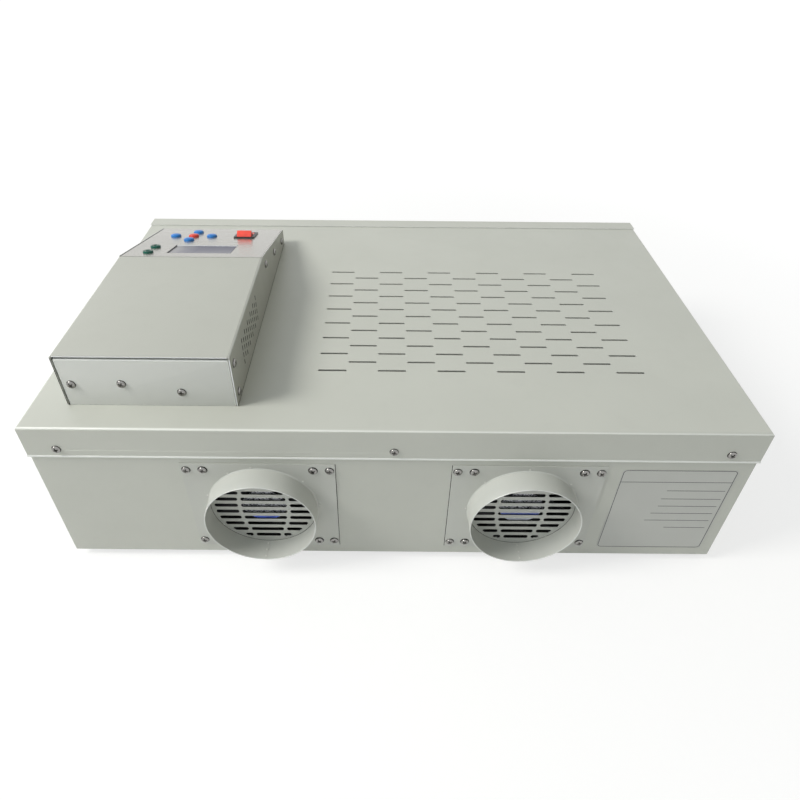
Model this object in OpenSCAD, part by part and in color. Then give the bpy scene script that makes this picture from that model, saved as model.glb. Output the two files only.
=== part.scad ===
// Drawer-type infrared reflow oven: a flat sheet-steel body with two exhaust
// fans at the back and a separate controller box on its top cover.
// The front faces -Y, +Z is up, and all sizes are in millimetres.

/* [Body] */
// Outer width across the top cover
body_w = 683; // [670:1:760]
// Depth from the face of the front frame to the back of the top cover
body_d = 447; // [440:1:520]
// Height of the body without its feet
body_h = 177; // [172:1:220]
// Thickness of the body's sheet steel
sheet_t = 1.2; // [0.8:0.1:1.6]
// Play between the top cover and the walls that it slips over
cover_play = 0.3; // [0.2:0.1:0.6]
// Outer radius of the cover's bent edges
bend_r = 2.4; // [2:0.2:4]
// Gap between the duct plates and the cover's skirt
skirt_clear = 9.8; // [6:0.1:14]
// Reach of the front frame's lip over the cover
lip_w = 20; // [14:1:30]
// Width of the returns along the top of the tray's walls
return_w = 12; // [8:1:16]

/* [Feet] */
// Height of a rubber foot
foot_h = 10; // [8:1:20]
// Diameter of a rubber foot where it meets the body
foot_d = 30; // [24:1:40]
// Distance from the centre of a foot to the side of the body
foot_inset_x = 60; // [40:1:100]
// Distance from the centre of a foot to the front or the back of the body
foot_inset_y = 45; // [30:1:90]

/* [Top slots] */
// Number of rows of slots
slot_rows = 15; // [5:2:17]
// Slots in a long row; the rows between have one less
slot_columns = 6; // [4:1:6]
// Length of a slot
slot_len = 29; // [20:1:29]
// Width of a slot
slot_w = 2.6; // [1.6:0.2:4]
// Distance between slots in a row
slot_pitch_x = 60; // [50:1:60]
// Distance between rows
slot_pitch_y = 14.6; // [10:0.2:14.6]
// Middle of the slots from the body's left side, seen from the front
slots_side = 253.5; // [240:0.5:262]
// Middle of the slots from the back of the cover
slots_depth = 192.3; // [160:0.1:220]

/* [Exhaust fans] */
// Distance from a fan's axis to the side of the body
fan_side = 212.2; // [205:0.1:240]
// Height of the fans' axes above the underside of the body
fan_z = 72.2; // [70:0.2:80]
// Side of a fan's square frame
fan_size = 120; // [119:1:121]
// Depth of a fan
fan_depth = 38; // [32:1:40]
// Distance from a fan's screw holes to its sides
fan_hole_in = 7.5; // [7:0.1:8]
// Wall of a fan's frame beside its bore
fan_wall = 2.5; // [2:0.1:3]
// Diameter of a fan's motor
hub_d = 44; // [36:1:60]
// Number of fan blades
blades = 5; // [3:1:7]
// Diameter of a fan's shaft
shaft_d = 5; // [4:0.5:8]
// Radial play between a fan's shaft and its bearing
shaft_play = 0.05; // [0.02:0.01:0.1]
// Gap between the blades' tips and the bore
tip_gap = 1.2; // [0.8:0.2:3]
// Depth of the motor's face behind the fan's outer face
hub_inset = 0; // [0:0.5:12]

/* [Ducts] */
// Width of a duct plate
plate_w = 147; // [144:1:180]
// Reach of a duct plate over and under its fan
plate_over = 1; // [0.5:0.1:3]
// Thickness of a duct plate
plate_t = 1; // [0.8:0.1:1.5]
// Distance between a plate's outer screws
outer_pitch = 136.6; // [130:0.2:140]
// Outer diameter of a duct collar
collar_d = 108.6; // [100:0.2:112]
// Wall of a duct collar
collar_t = 1; // [0.8:0.1:2]
// Length of a duct collar
collar_len = 24; // [16:1:60]
// Rows of slots in a grille
grille_rows = 10; // [7:1:10]
// Distance between the grille's rows
grille_pitch = 9.1; // [7:0.1:9.2]
// Middle of the grille below the duct's axis
grille_drop = 2.4; // [0:0.2:3]
// Height of a grille slot
grille_slot = 4.6; // [2.4:0.2:5]
// Radius that the grille's slots end on
grille_r = 49.5; // [49:0.5:51]
// Half the length of the longest middle slot
grille_mid = 23; // [18:1:24]
// Web between the slots of a row
grille_web = 3; // [2:0.2:5]
// Radius of the webs' bow
grille_bow = 98; // [90:1:120]

/* [Heating chamber] */
// Air gap between the insulation and the body's side walls
side_air = 6.8; // [6:0.1:10]
// Air gap between the insulation and the body's top cover
top_air = 16.6; // [14:0.1:20]
// Sheet of the chamber
chamber_t = 1; // [0.8:0.1:1.2]
// Thickness of the insulation under the chamber
floor_wool = 12; // [8:1:12]
// Thickness of the insulation on top of the chamber
top_wool = 18; // [10:1:18]
// Thickness of the insulation beside the chamber
side_wool = 20; // [10:1:20]
// Number of infrared tubes
tubes = 6; // [4:1:6]
// Distance from the chamber's ends to the outer tubes' axes
tube_end = 47; // [40:1:60]
// Diameter of an infrared tube
tube_d = 10; // [8:1:12]
// Wall of an infrared tube
tube_wall = 1; // [0.8:0.1:1.5]
// Distance from a tube's axis to the chamber's roof
tube_drop = 26; // [22:1:28]

/* [Drawer] */
// How far the drawer opens
drawer_travel = 350; // [250:5:360]
// Reach of the drawer's front beside the opening
front_side = 14; // [12:1:20]
// Reach of the drawer's front over and under the opening
front_lap = 9; // [9:0.5:12]
// Thickness of the drawer's front
front_t = 16; // [15:1:24]
// Thickness of the seal behind the drawer's front
seal_t = 2; // [1:0.5:4]
// Width of the seal
seal_w = 8; // [6:1:9]
// Width of the window
window_w = 440; // [200:5:520]
// Height of the window
window_h = 56; // [30:1:60]
// Thickness of a window pane
pane_t = 4; // [3:0.5:5]
// Height of the drawer's pan
pan_h = 40; // [38:1:46]
// Sheet of the drawer's pan
pan_t = 1.2; // [0.8:0.1:1.5]
// Distance between the wires of the board rack
wire_pitch = 24; // [16:1:40]
// Diameter of the rack's frame wire
rack_wire = 4; // [3:0.5:5]
// Diameter of the rack's cross wires
cross_wire = 2.5; // [2:0.5:3]
// Height of the rack over the pan's floor
rack_h = 22; // [16:1:28]

/* [Handle] */
// Length of the handle between the middles of its posts
handle_len = 180; // [100:5:240]
// Diameter of the handle's bar
handle_d = 12; // [10:1:16]
// Reach of the handle in front of the drawer
handle_out = 34; // [30:1:45]
// Height of the handle's bar below the middle of the drawer's front
handle_drop = 50; // [46:1:54]

/* [Rails] */
// Gap behind a closed rail
rail_end = 22; // [18:1:32]
// Width of a rail
rail_w = 12.7; // [12.7:0.1:14]
// Height of a rail
rail_h = 35; // [34:1:36]
// Sheet of the rails
rail_t = 1.5; // [1.2:0.1:1.6]
// Running gap between a rail's members
rail_gap = 0.4; // [0.3:0.1:0.5]

/* [Controller box] */
// Width of the controller box
ctrl_w = 159.2; // [156:0.2:170]
// Distance from the controller box to the side of the body
ctrl_side = 36.2; // [20:0.1:60]
// Distance from the back of the cover to the back of the controller box
ctrl_depth = 32.3; // [20:0.1:50]
// Length of the controller box
ctrl_len = 341; // [336:1:350]
// Length of its sloping end, measured level
slope_run = 151.8; // [148:0.2:156]
// Height of the controller box
ctrl_h = 56.2; // [54:0.2:62]
// Height of its low front end
nose_h = 19.7; // [18:0.1:24]
// Sheet of the controller box
ctrl_t = 1; // [0.8:0.1:1.2]
// Gap around the sloping control panel
panel_gap = 0.4; // [0.3:0.1:0.6]
// How far the back panel is set into the box
back_recess = 2; // [1:0.5:4]
// Depth of the control panel's side flanges
flange_h = 16; // [14:1:16]

/* [Controls] */
// Diameter of a key
key_d = 12.4; // [10:0.2:14]
// Height of a key over the panel
key_out = 3.4; // [3:0.2:6]
// Travel of a key
key_travel = 1.2; // [0.8:0.1:1.6]
// Gap around a key
key_gap = 0.3; // [0.2:0.1:0.5]
// Distance from the middle key to each key around it
key_pitch = 22.5; // [18:0.5:24]
// Middle key to the right of the box's middle
keys_x = 25; // [20:1:28]
// Middle key from the low end of the slope
keys_up = 48.1; // [42:0.1:54]
// Width of the display window
lcd_w = 73; // [60:1:76]
// Height of the display window
lcd_h = 41; // [30:0.5:42]
// Middle of the display to the right of the box's middle
lcd_x = -4.2; // [-12:0.1:0]
// Middle of the display below the bend of the box
lcd_s = 38.5; // [32:0.1:40]
// Width of the rocker switch's bezel
rocker_w = 25.5; // [22:0.5:28]
// Length of the rocker switch's bezel
rocker_len = 31; // [28:1:34]
// Middle of the rocker switch to the right of the box's middle
rocker_x = -39; // [-44:1:-34]
// Middle of the rocker switch from the low end of the slope
rocker_up = 41.1; // [38:0.1:54]
// Angle that the rocker tilts to each side
rocker_tilt = 18; // [6:1:20]
// Height of the valley in the rocker's face over the panel
rocker_rise = 1.7; // [0.8:0.1:2]
// Diameter of a sensor jack
jack_d = 11.5; // [10:0.5:13]
// Bore of a sensor jack
jack_bore = 4; // [3:0.1:5]
// Distance between the sensor jacks
jack_pitch = 26.5; // [20:0.1:30]
// Sensor jacks to the right of the box's middle
jack_x = 53; // [50:0.5:58]
// Upper sensor jack below the bend of the box
jack_s = 19.2; // [14:0.1:26]
// Height of a sensor jack over the panel
jack_out = 2.4; // [2:0.2:5]

/* [Screws] */
// Head diameter of the body's screws
screw_head = 8; // [7:0.5:9]
// Head height of the body's screws
screw_head_h = 2.2; // [1.6:0.1:3]
// Thread diameter of the body's screws
screw_d = 4; // [3:0.5:4]
// Head diameter of the controller's screws
small_head = 8; // [5:0.5:9]
// Head height of the controller's screws
small_head_h = 2.2; // [1.4:0.1:2.6]
// Thread diameter of the controller's screws
small_d = 3; // [2.5:0.5:3.5]
// Length of the controller's screws behind the face that they clamp
small_reach = 5; // [4:0.5:8]
// Play of a screw in its hole
screw_play = 0.2; // [0.1:0.1:0.4]

/* [Hidden] */
$fn = 64;
cut = 1;                     // how far a cut runs past a face
soft_gap = 0.3;              // gap that keeps soft or moving faces apart

// Frame: the body is centred between the handle's bar and the ducts' ends
collar_reach = collar_len + plate_t - sheet_t - cover_play;
front_reach = handle_out + front_t + seal_t;
back_y = body_d/2 + (front_reach - collar_reach)/2;
front_y = back_y - body_d;
base_z = foot_h;
top_z = base_z + body_h;

// Places of the fans, and the plates over them
fan_spacing = body_w - 2*fan_side;
plate_h = fan_size + 2*plate_over;

// Skirt of the top cover, and the bead of the tray that lies under it
skirt_h = body_h - fan_z - plate_h/2 - skirt_clear;
ledge_h = 1.6;
ledge_gap = 0.4;             // between the skirt and the bead
slots_x = slots_side - body_w/2;

// Tray and front frame
tray_w = body_w - 2*(sheet_t + cover_play);
tray_back = back_y - sheet_t - cover_play;
tray_front = front_y + sheet_t;
tray_h = body_h - sheet_t;
cover_screw_up = 8;          // cover's screws above the skirt's lower edge
cover_screw_in = 29.6;       // outer back screws from the cover's sides
side_screw_in = 70;          // side screws from the front and from the back

// Fans and ducts
fan_back = tray_back - sheet_t;
fan_front = fan_back - fan_depth;
fan_bore_d = fan_size - 2*fan_wall;
fan_hole_pitch = fan_size - 2*fan_hole_in;
fan_hole_d = 4.4;
spider_t = 4;                // thickness of the motor's mount and its arms
wheel_gap = 1;               // between the wheel and the fan's inner face
wheel_depth = fan_depth - hub_inset - spider_t - soft_gap - wheel_gap;
duct_hole_d = collar_d - 2*collar_t;

// Chamber
chamber_z = base_z + sheet_t + floor_wool + chamber_t;
chamber_w = tray_w - 2*(sheet_t + side_air + side_wool + chamber_t);
chamber_h = body_h - 2*sheet_t - floor_wool - top_wool - 2*chamber_t - top_air;
chamber_top = chamber_z + chamber_h;
chamber_back = fan_front - chamber_t;
chamber_mid_y = (tray_front + chamber_back)/2;
exhaust_lip = 7.5;           // chamber's back inside a fan's bore
exhaust_d = fan_bore_d - 2*exhaust_lip;
tube_z = chamber_top - tube_drop;
bracket_inset = 16;          // chamber wall to the tubes' brackets
bracket_t = 2;
cap_d = tube_d + 4;
cap_len = 18;
tube_len = chamber_w - 2*bracket_inset - cap_len;
tube_pitch = (chamber_back - tray_front - 2*tube_end)/(tubes - 1);

// Drawer
front_back = front_y - seal_t;
front_face = front_back - front_t;
front_mid_z = chamber_z + chamber_h/2;
front_w = chamber_w + 2*front_side;
front_h = chamber_h + 2*front_lap;
pan_w = chamber_w - 2*rail_w;
pan_up = 6;                  // gap under the drawer's pan
pan_end = 12;                // and behind it
pan_z = chamber_z + pan_up;
pan_back = chamber_back - pan_end;
rail_z = pan_z + pan_h/2;
rail_start = 2;              // rails' front ends behind the front frame
rail_front = tray_front + rail_start;
rail_len = chamber_back - rail_front - rail_end;
liner_t = 1;
window_up = 10;              // middle of the window above the front's middle
window_z = front_mid_z + window_up;
pane_lap = 10;               // glass behind the edge of the window
window_r = 8;
spacer_t = front_t - sheet_t - 2*pane_t - liner_t;
handle_z = front_mid_z - handle_drop;
post_in = 1;                 // handle's posts, thinner than its bar all round
post_d = handle_d - 2*post_in;

// Controller
ctrl_x = body_w/2 - ctrl_side - ctrl_w/2;
ctrl_back = back_y - ctrl_depth;
ctrl_flat = ctrl_len - slope_run;
slope = atan((ctrl_h - nose_h)/slope_run);
slope_len = slope_run/cos(slope);
keys_s = slope_len - keys_up;
rocker_s = slope_len - rocker_up;
panel_w = ctrl_w - 2*ctrl_t - 2*panel_gap;
ctrl_lift = 0.6;             // gap under the controller's side walls
board_drop = 16;             // control board below the panel's face
board_t = 1.6;
rocker_ring = 1.5;           // height of the switch's bezel
rocker_rim = 2;              // bezel's edge to the rocker's ends
rocker_r = rocker_len/2 - rocker_rim;
rocker_pin = 3;              // diameter of the rocker's pivot
rocker_pivot = -2.5;         // height of the pivot over the panel
pivot_play = 0.05;

// ---------- shared shapes ----------

// Rectangle standing on y = 0 with round top corners
module round_top(w, h, r) {
    translate([-w/2, 0]) square([w, h - r]);
    translate([-w/2 + r, 0]) square([w - 2*r, h]);
    for (s = [-1, 1]) translate([s*(w/2 - r), h - r]) circle(r);
}

// Slot with round ends, centred
module slot2d(len, w) {
    square([len - w, w], center = true);
    for (s = [-1, 1]) translate([s*(len - w)/2, 0]) circle(w/2, $fn = 24);
}

// Rectangle with round corners, centred
module round_rect(w, h, r) {
    square([w - 2*r, h], center = true);
    square([w, h - 2*r], center = true);
    for (x = [-1, 1], y = [-1, 1]) translate([x*(w/2 - r), y*(h/2 - r)]) circle(r);
}

// Lays a drawing of (x, z) on a wall that faces +Y; it grows towards +Y
module on_back(y) translate([0, y, 0]) rotate([90, 0, 180]) mirror([1, 0, 0]) children();

// Pan-head screw with a cross recess; its head stands on z = 0 and faces +Z
module pan_screw(head, head_h, d, len) {
    dome_r = (pow(head/2, 2) + pow(head_h, 2))/(2*head_h);
    cross_len = head*0.56;
    cross_w = head*0.12;
    cross_z = head_h*0.45;
    difference() {
        union() {
            intersection() {
                cylinder(h = head_h, d = head);
                translate([0, 0, head_h - dome_r]) sphere(dome_r);
            }
            translate([0, 0, -len]) cylinder(h = len + head_h/4, d = d, $fn = 32);
        }
        for (a = [45, 135]) rotate([0, 0, a])
            translate([-cross_len/2, -cross_w/2, cross_z]) cube([cross_len, cross_w, head_h]);
    }
}

// Places its children on the sloping panel: z is the panel's outward normal,
// x is to the right of the box's middle and s is the distance below the bend
module on_slope(x, s)
    translate([ctrl_x, ctrl_back - ctrl_flat, top_z + ctrl_h])
        rotate([slope, 0, 0]) translate([x, -s, 0]) children();

module at_fan(side) translate([side*fan_spacing/2, 0, base_z + fan_z]) children();

// ---------- body ----------

// Block of the tray's outer shape, with round upper edges at the sides and the back
module tray_block(r) intersection() {
    translate([0, tray_back, base_z]) rotate([90, 0, 0])
        linear_extrude(tray_back - tray_front) round_top(tray_w, tray_h, r);
    translate([-tray_w/2, tray_front, base_z]) rotate([90, 0, 90]) linear_extrude(tray_w) difference() {
        square([tray_back - tray_front, tray_h]);
        translate([tray_back - tray_front - r, tray_h - r]) difference() {
            square(r + cut);
            circle(r);
        }
    }
}

// Bead round the tray on three sides, which the cover's skirt stands on
module skirt_ledge() translate([0, 0, top_z - skirt_h - ledge_gap - ledge_h]) {
    reach = cover_play + 1.5*sheet_t;
    for (s = [-1, 1]) translate([s*(body_w - reach)/2 - reach/2, tray_front + lip_w, 0])
        cube([reach, back_y - tray_front - lip_w, ledge_h]);
    translate([-body_w/2, back_y - reach, 0]) cube([body_w, reach, ledge_h]);
}

// Folded tray: floor, sides and back, with returns along the top
duct_lap = 1;                // tray's back around the bore of a duct
module base_tray() color("#b5b5ad") difference() {
    union() {
        difference() {
            tray_block(bend_r - sheet_t);
            translate([-tray_w/2 + sheet_t, tray_front - cut, base_z + sheet_t])
                cube([tray_w - 2*sheet_t, tray_back - sheet_t - tray_front + cut, tray_h - 2*sheet_t]);
            translate([-tray_w/2 + return_w, tray_front - cut, base_z + sheet_t])
                cube([tray_w - 2*return_w, tray_back - return_w - tray_front + cut, tray_h]);
            translate([-tray_w/2 + sheet_t, tray_front - cut, base_z + sheet_t])
                cube([tray_w - 2*sheet_t, lip_w + cut, tray_h]);
        }
        skirt_ledge();
    }
    for (side = [-1, 1]) at_fan(side) {
        translate([0, tray_back + cut, 0]) rotate([90, 0, 0])
            cylinder(h = sheet_t + 2*cut, d = duct_hole_d - 2*duct_lap);
        plate_holes(tray_back - sheet_t - cut, sheet_t + 2*cut);
    }
    for (p = cover_screw_spots) place_cover_screw(p)
        translate([0, 0, -screw_reach]) cylinder(h = 2*screw_reach, d = screw_d + screw_play, $fn = 32);
    for (p = foot_spots) translate([p.x, p.y, base_z - cut])
        cylinder(h = sheet_t + 2*cut, d = screw_d + screw_play, $fn = 32);
    inlet_hole(sheet_t, soft_gap);
    for (s = [-1, 1]) translate([tray_w/2 - sheet_t - cut, inlet_y + s*inlet_pitch/2, inlet_z])
        rotate([0, 90, 0]) cylinder(h = sheet_t + 2*cut, d = inlet_screw_d + screw_play, $fn = 32);
}

// Front frame around the drawer's opening, with a lip over the cover
module front_frame() color("#b8b8b0") difference() {
    union() {
        translate([-body_w/2, front_y, base_z]) cube([body_w, sheet_t, body_h + sheet_t]);
        translate([-body_w/2, front_y, top_z]) cube([body_w, lip_w, sheet_t]);
        for (s = [-1, 1])
            translate([s*(tray_w/2 - 1.5*sheet_t) - sheet_t/2, front_y, base_z + sheet_t])
                cube([sheet_t, lip_w, body_h - 3*sheet_t]);
        translate([-tray_w/2 + 2*sheet_t, front_y, base_z + sheet_t])
            cube([tray_w - 4*sheet_t, lip_w/2, sheet_t]);
    }
    translate([-chamber_w/2, front_y - cut, chamber_z]) cube([chamber_w, sheet_t + 2*cut, chamber_h]);
}

// Cover: slotted top with a skirt on three sides
module cover_solid(inset) {
    h = body_h + cut - inset;
    r = bend_r - inset;
    intersection() {
        translate([0, back_y - inset, base_z - cut]) rotate([90, 0, 0])
            linear_extrude(body_d - sheet_t - inset + (inset > 0 ? cut : 0))
                round_top(body_w - 2*inset, h, r);
        translate([-body_w/2, back_y - inset - body_d, base_z - cut]) rotate([90, 0, 90])
            linear_extrude(body_w) difference() {
                square([body_d, h]);
                translate([body_d - r, h - r]) difference() {
                    square(r + cut);
                    circle(r);
                }
            }
    }
}

module top_slots() for (row = [0 : slot_rows - 1])
    let (n = row % 2 == 0 ? slot_columns : slot_columns - 1)
        for (i = [0 : n - 1])
            translate([slots_x + (i - (n - 1)/2)*slot_pitch_x,
                    back_y - slots_depth + (row - (slot_rows - 1)/2)*slot_pitch_y])
                slot2d(slot_len, slot_w);

module top_cover() color("#bdbdb4") difference() {
    cover_solid(0);
    cover_solid(sheet_t);
    translate([-body_w, front_y - body_d, base_z - 2*cut])
        cube([2*body_w, 3*body_d, body_h - skirt_h + 2*cut]);
    translate([0, 0, top_z - sheet_t - cut]) linear_extrude(sheet_t + 2*cut) top_slots();
    for (p = cover_screw_spots) place_cover_screw(p)
        translate([0, 0, -screw_reach]) cylinder(h = 2*screw_reach, d = screw_d + screw_play, $fn = 32);
    translate([ctrl_x, bush_y, top_z - sheet_t - cut]) cylinder(h = sheet_t + 2*cut, d = bush_d);
}

// Cover screws: [x, y, angle about Z] with the head's outward direction at that angle
side_screw_y = [front_y + side_screw_in, back_y - side_screw_in];
cover_screw_x = body_w/2 - cover_screw_in;
cover_screw_z = top_z - skirt_h + cover_screw_up;
cover_screw_spots = concat(
    [for (x = [-cover_screw_x, 0, cover_screw_x]) [x, back_y, 90]],
    [for (y = side_screw_y) [body_w/2, y, 0]],
    [for (y = side_screw_y) [-body_w/2, y, 180]]);
screw_reach = 8;             // length of the screws behind the face that they clamp
module place_cover_screw(p)
    translate([p[0], p[1], cover_screw_z]) rotate([0, 0, p[2]]) rotate([0, 90, 0]) children();

module body_screws() color("#c9c9c6") {
    for (p = cover_screw_spots) place_cover_screw(p)
        pan_screw(screw_head, screw_head_h, screw_d, screw_reach);
    for (s = [-1, 1]) translate([tray_w/2 + inlet_t, inlet_y + s*inlet_pitch/2, inlet_z])
        rotate([0, 90, 0]) pan_screw(inlet_head, inlet_head_h, inlet_screw_d, inlet_t + small_reach);
}

foot_spots = [for (x = [-1, 1], y = [front_y + foot_inset_y, back_y - foot_inset_y])
    [x*(body_w/2 - foot_inset_x), y]];
foot_recess = foot_h*0.55;   // depth of the pocket for the screw's head
foot_taper = 5;
foot_wall = 1.5;             // gap around the screw's head
nut_d = 8;                   // across the corners
nut_h = 3.2;
nut_reach = 6;               // screw's end above the body's floor

module feet() color("#2b2b2b") for (p = foot_spots) translate([p.x, p.y, 0]) difference() {
    cylinder(h = foot_h, d1 = foot_d - foot_taper, d2 = foot_d);
    translate([0, 0, -cut]) cylinder(h = foot_recess + cut, d = screw_head + 2*foot_wall);
    cylinder(h = foot_h + cut, d = screw_d + screw_play, $fn = 32);
}

module foot_screws() color("#c9c9c6") for (p = foot_spots) translate([p.x, p.y, foot_recess]) {
    rotate([180, 0, 0])
        pan_screw(screw_head, screw_head_h, screw_d, base_z + sheet_t + nut_reach - foot_recess);
    translate([0, 0, base_z + sheet_t - foot_recess]) difference() {
        cylinder(h = nut_h, d = nut_d, $fn = 6);
        translate([0, 0, -cut]) cylinder(h = nut_h + 2*cut, d = screw_d, $fn = 32);
    }
}

// Blank plate for the oven's ratings
rating_w = 110.5;
rating_h = 117;
rating_side = 68.7;          // middle of the plate from the side of the body
rating_up = (body_h - skirt_h - ledge_gap - ledge_h)/2;
rating_t = 0.4;
rating_r = 3;
module rating_plate() color("#cfcfc8") translate([rating_side - body_w/2, 0, base_z + rating_up])
    on_back(tray_back) linear_extrude(rating_t) round_rect(rating_w, rating_h, rating_r);

// ---------- mains inlet ----------

inlet_in = 60;               // middle of the inlet from the back of the body
inlet_up = 34;               // and from its underside
inlet_y = back_y - inlet_in;
inlet_z = base_z + inlet_up;
inlet_w = 50;                // flange, along Y
inlet_h = 27;
inlet_t = 2;
inlet_body_w = 31;
inlet_body_h = 24;
inlet_body_d = 24;
inlet_recess_w = 27.5;
inlet_recess_h = 19;
inlet_recess_d = 18;
inlet_pitch = 40;
inlet_head = 6;
inlet_head_h = 1.4;
inlet_screw_d = 3;
blade_w = 8;
blade_t = 2;
blade_pitch = 13;            // between the two live blades, across the recess
blade_low = -3.5;            // live blades below the recess's middle
blade_high = 4.5;            // earth blade above it

inlet_r = 4;
blade_out = 2;               // blades' ends behind the inlet's face

// Cut for the inlet's body to a depth behind the tray's side, with a gap around it
module inlet_hole(depth, gap) translate([tray_w/2 - depth - cut, inlet_y, inlet_z])
    translate([0, -inlet_body_w/2 - gap, -inlet_body_h/2 - gap])
        cube([depth + 2*cut, inlet_body_w + 2*gap, inlet_body_h + 2*gap]);

module mains_inlet() color("#262628") translate([tray_w/2, inlet_y, inlet_z]) {
    difference() {
        union() {
            rotate([90, 0, 90]) linear_extrude(inlet_t) round_rect(inlet_w, inlet_h, inlet_r);
            translate([-inlet_body_d, -inlet_body_w/2, -inlet_body_h/2])
                cube([inlet_body_d, inlet_body_w, inlet_body_h]);
        }
        translate([inlet_t - inlet_recess_d, -inlet_recess_w/2, -inlet_recess_h/2])
            cube([inlet_recess_d + cut, inlet_recess_w, inlet_recess_h]);
        for (s = [-1, 1]) translate([-cut, s*inlet_pitch/2, 0]) rotate([0, 90, 0])
            cylinder(h = inlet_t + 2*cut, d = inlet_screw_d + screw_play, $fn = 32);
    }
    for (p = [[-blade_pitch/2, blade_low], [blade_pitch/2, blade_low], [0, blade_high]])
        translate([inlet_t - inlet_recess_d - cut, p[0] - blade_w/2, p[1] - blade_t/2])
            cube([inlet_recess_d - blade_out + cut, blade_w, blade_t]);
}

// ---------- ducts and fans ----------

inner_spots = [for (x = [-1, 1], z = [-1, 1]) [x*fan_hole_pitch/2, z*fan_hole_pitch/2]];
outer_spots = [for (x = [-1, 1], z = [-1, 1]) [x*outer_pitch/2, z*fan_hole_pitch/2]];

module plate_holes(y, t) for (p = concat(inner_spots, outer_spots))
    translate([p[0], y + t, p[1]]) rotate([90, 0, 0])
        cylinder(h = t, d = screw_d + screw_play, $fn = 32);

// Slots of one grille row at height z
module grille_row(z) {
    half = sqrt(pow(grille_r, 2) - pow(z, 2));
    mid = grille_mid - grille_bow + sqrt(pow(grille_bow, 2) - pow(z, 2));
    inner = mid + grille_web;
    slot2d(2*mid, grille_slot);
    for (s = [-1, 1]) translate([s*(half + inner)/2, 0]) slot2d(half - inner, grille_slot);
}

module duct_plate(side) color("#b9b9b1") at_fan(side) difference() {
    on_back(tray_back) linear_extrude(plate_t) difference() {
        square([plate_w, plate_h], center = true);
        for (k = [0 : grille_rows - 1]) let (z = (k - (grille_rows - 1)/2)*grille_pitch - grille_drop)
            translate([0, z]) grille_row(z);
    }
    plate_holes(tray_back - cut, plate_t + 2*cut);
}

module duct_collar(side) color("#bcbcb4") at_fan(side)
    translate([0, tray_back + plate_t + collar_len, 0]) rotate([90, 0, 0]) difference() {
        cylinder(h = collar_len, d = collar_d, $fn = 128);
        translate([0, 0, -cut]) cylinder(h = collar_len + 2*cut, d = collar_d - 2*collar_t, $fn = 128);
    }

fan_flange = 5;              // thickness of a fan's flanges
fan_bite = 3;                // inner screws behind the fan's flange
plate_bite = 5;              // outer screws behind the body's back
module plate_screws() color("#c9c9c6") for (side = [-1, 1]) at_fan(side) {
    for (p = inner_spots) translate([p[0], tray_back + plate_t, p[1]]) rotate([-90, 0, 0])
        pan_screw(screw_head, screw_head_h, screw_d, plate_t + sheet_t + fan_flange + fan_bite);
    for (p = outer_spots) translate([p[0], tray_back + plate_t, p[1]]) rotate([-90, 0, 0])
        pan_screw(screw_head, screw_head_h, screw_d, plate_t + sheet_t + plate_bite);
}

fan_corner = 5;              // radius of a fan's corners
barrel_t = 2;                // wall around a fan's bore
arm_w = 6;                   // width of the spider's arms
hub_wall = 1;
blade_angle = 38;            // fan blades against the fan's plane
fan_blade_t = 1.6;

// Fan frame: square frame with a round bore, a spider and a fixed shaft.
// The motor's face is towards the duct.
module fan_frame(side) color("#232427") at_fan(side) translate([0, fan_back, 0]) rotate([90, 0, 0]) {
    difference() {
        linear_extrude(fan_depth) round_rect(fan_size, fan_size, fan_corner);
        translate([0, 0, -cut]) cylinder(h = fan_depth + 2*cut, d = fan_bore_d, $fn = 128);
        translate([0, 0, fan_flange]) difference() {
            linear_extrude(fan_depth - 2*fan_flange)
                round_rect(fan_size + 2*cut, fan_size + 2*cut, fan_corner);
            translate([0, 0, -cut]) cylinder(h = fan_depth, d = fan_bore_d + 2*barrel_t, $fn = 128);
        }
        for (x = [-1, 1], y = [-1, 1]) translate([x*fan_hole_pitch/2, y*fan_hole_pitch/2, -cut])
            cylinder(h = fan_depth + 2*cut, d = fan_hole_d, $fn = 32);
    }
    translate([0, 0, hub_inset]) {
        for (a = [45, 135]) rotate([0, 0, a]) difference() {
            translate([-fan_bore_d/2 - barrel_t/2, -arm_w/2, 0])
                cube([fan_bore_d + barrel_t, arm_w, spider_t]);
            cylinder(h = 3*spider_t, d = hub_d - barrel_t, center = true);
        }
        cylinder(h = spider_t, d = hub_d);
        cylinder(h = spider_t + wheel_depth - hub_wall, d = shaft_d);
    }
}

// Fan wheel: hub cup on the shaft with set blades
module fan_wheel(side) color("#55585b") at_fan(side)
    translate([0, fan_back - hub_inset - spider_t - soft_gap, 0]) rotate([90, 0, 0]) {
        difference() {
            union() {
                cylinder(h = wheel_depth, d = hub_d);
                intersection() {
                    difference() {
                        cylinder(h = wheel_depth, d = fan_bore_d - 2*tip_gap, $fn = 128);
                        translate([0, 0, -cut])
                            cylinder(h = wheel_depth + 2*cut, d = hub_d - 2*hub_wall);
                    }
                    for (i = [0 : blades - 1]) rotate([0, 0, i*360/blades])
                        translate([0, 0, wheel_depth/2]) rotate([blade_angle, 0, 0])
                            translate([0, -wheel_depth, -fan_blade_t/2])
                                cube([fan_bore_d, 2*wheel_depth, fan_blade_t]);
                }
            }
            translate([0, 0, -cut]) cylinder(h = wheel_depth - hub_wall + cut, d = shaft_d + 2*shaft_play);
        }
    }

// ---------- chamber ----------

// Sleeve of the chamber: floor, roof and sides
module chamber() color("#a9a9a6") difference() {
    translate([-chamber_w/2 - chamber_t, tray_front, chamber_z - chamber_t])
        cube([chamber_w + 2*chamber_t, chamber_back - tray_front, chamber_h + 2*chamber_t]);
    translate([-chamber_w/2, tray_front - cut, chamber_z])
        cube([chamber_w, chamber_back - tray_front + 2*cut, chamber_h]);
}

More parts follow.
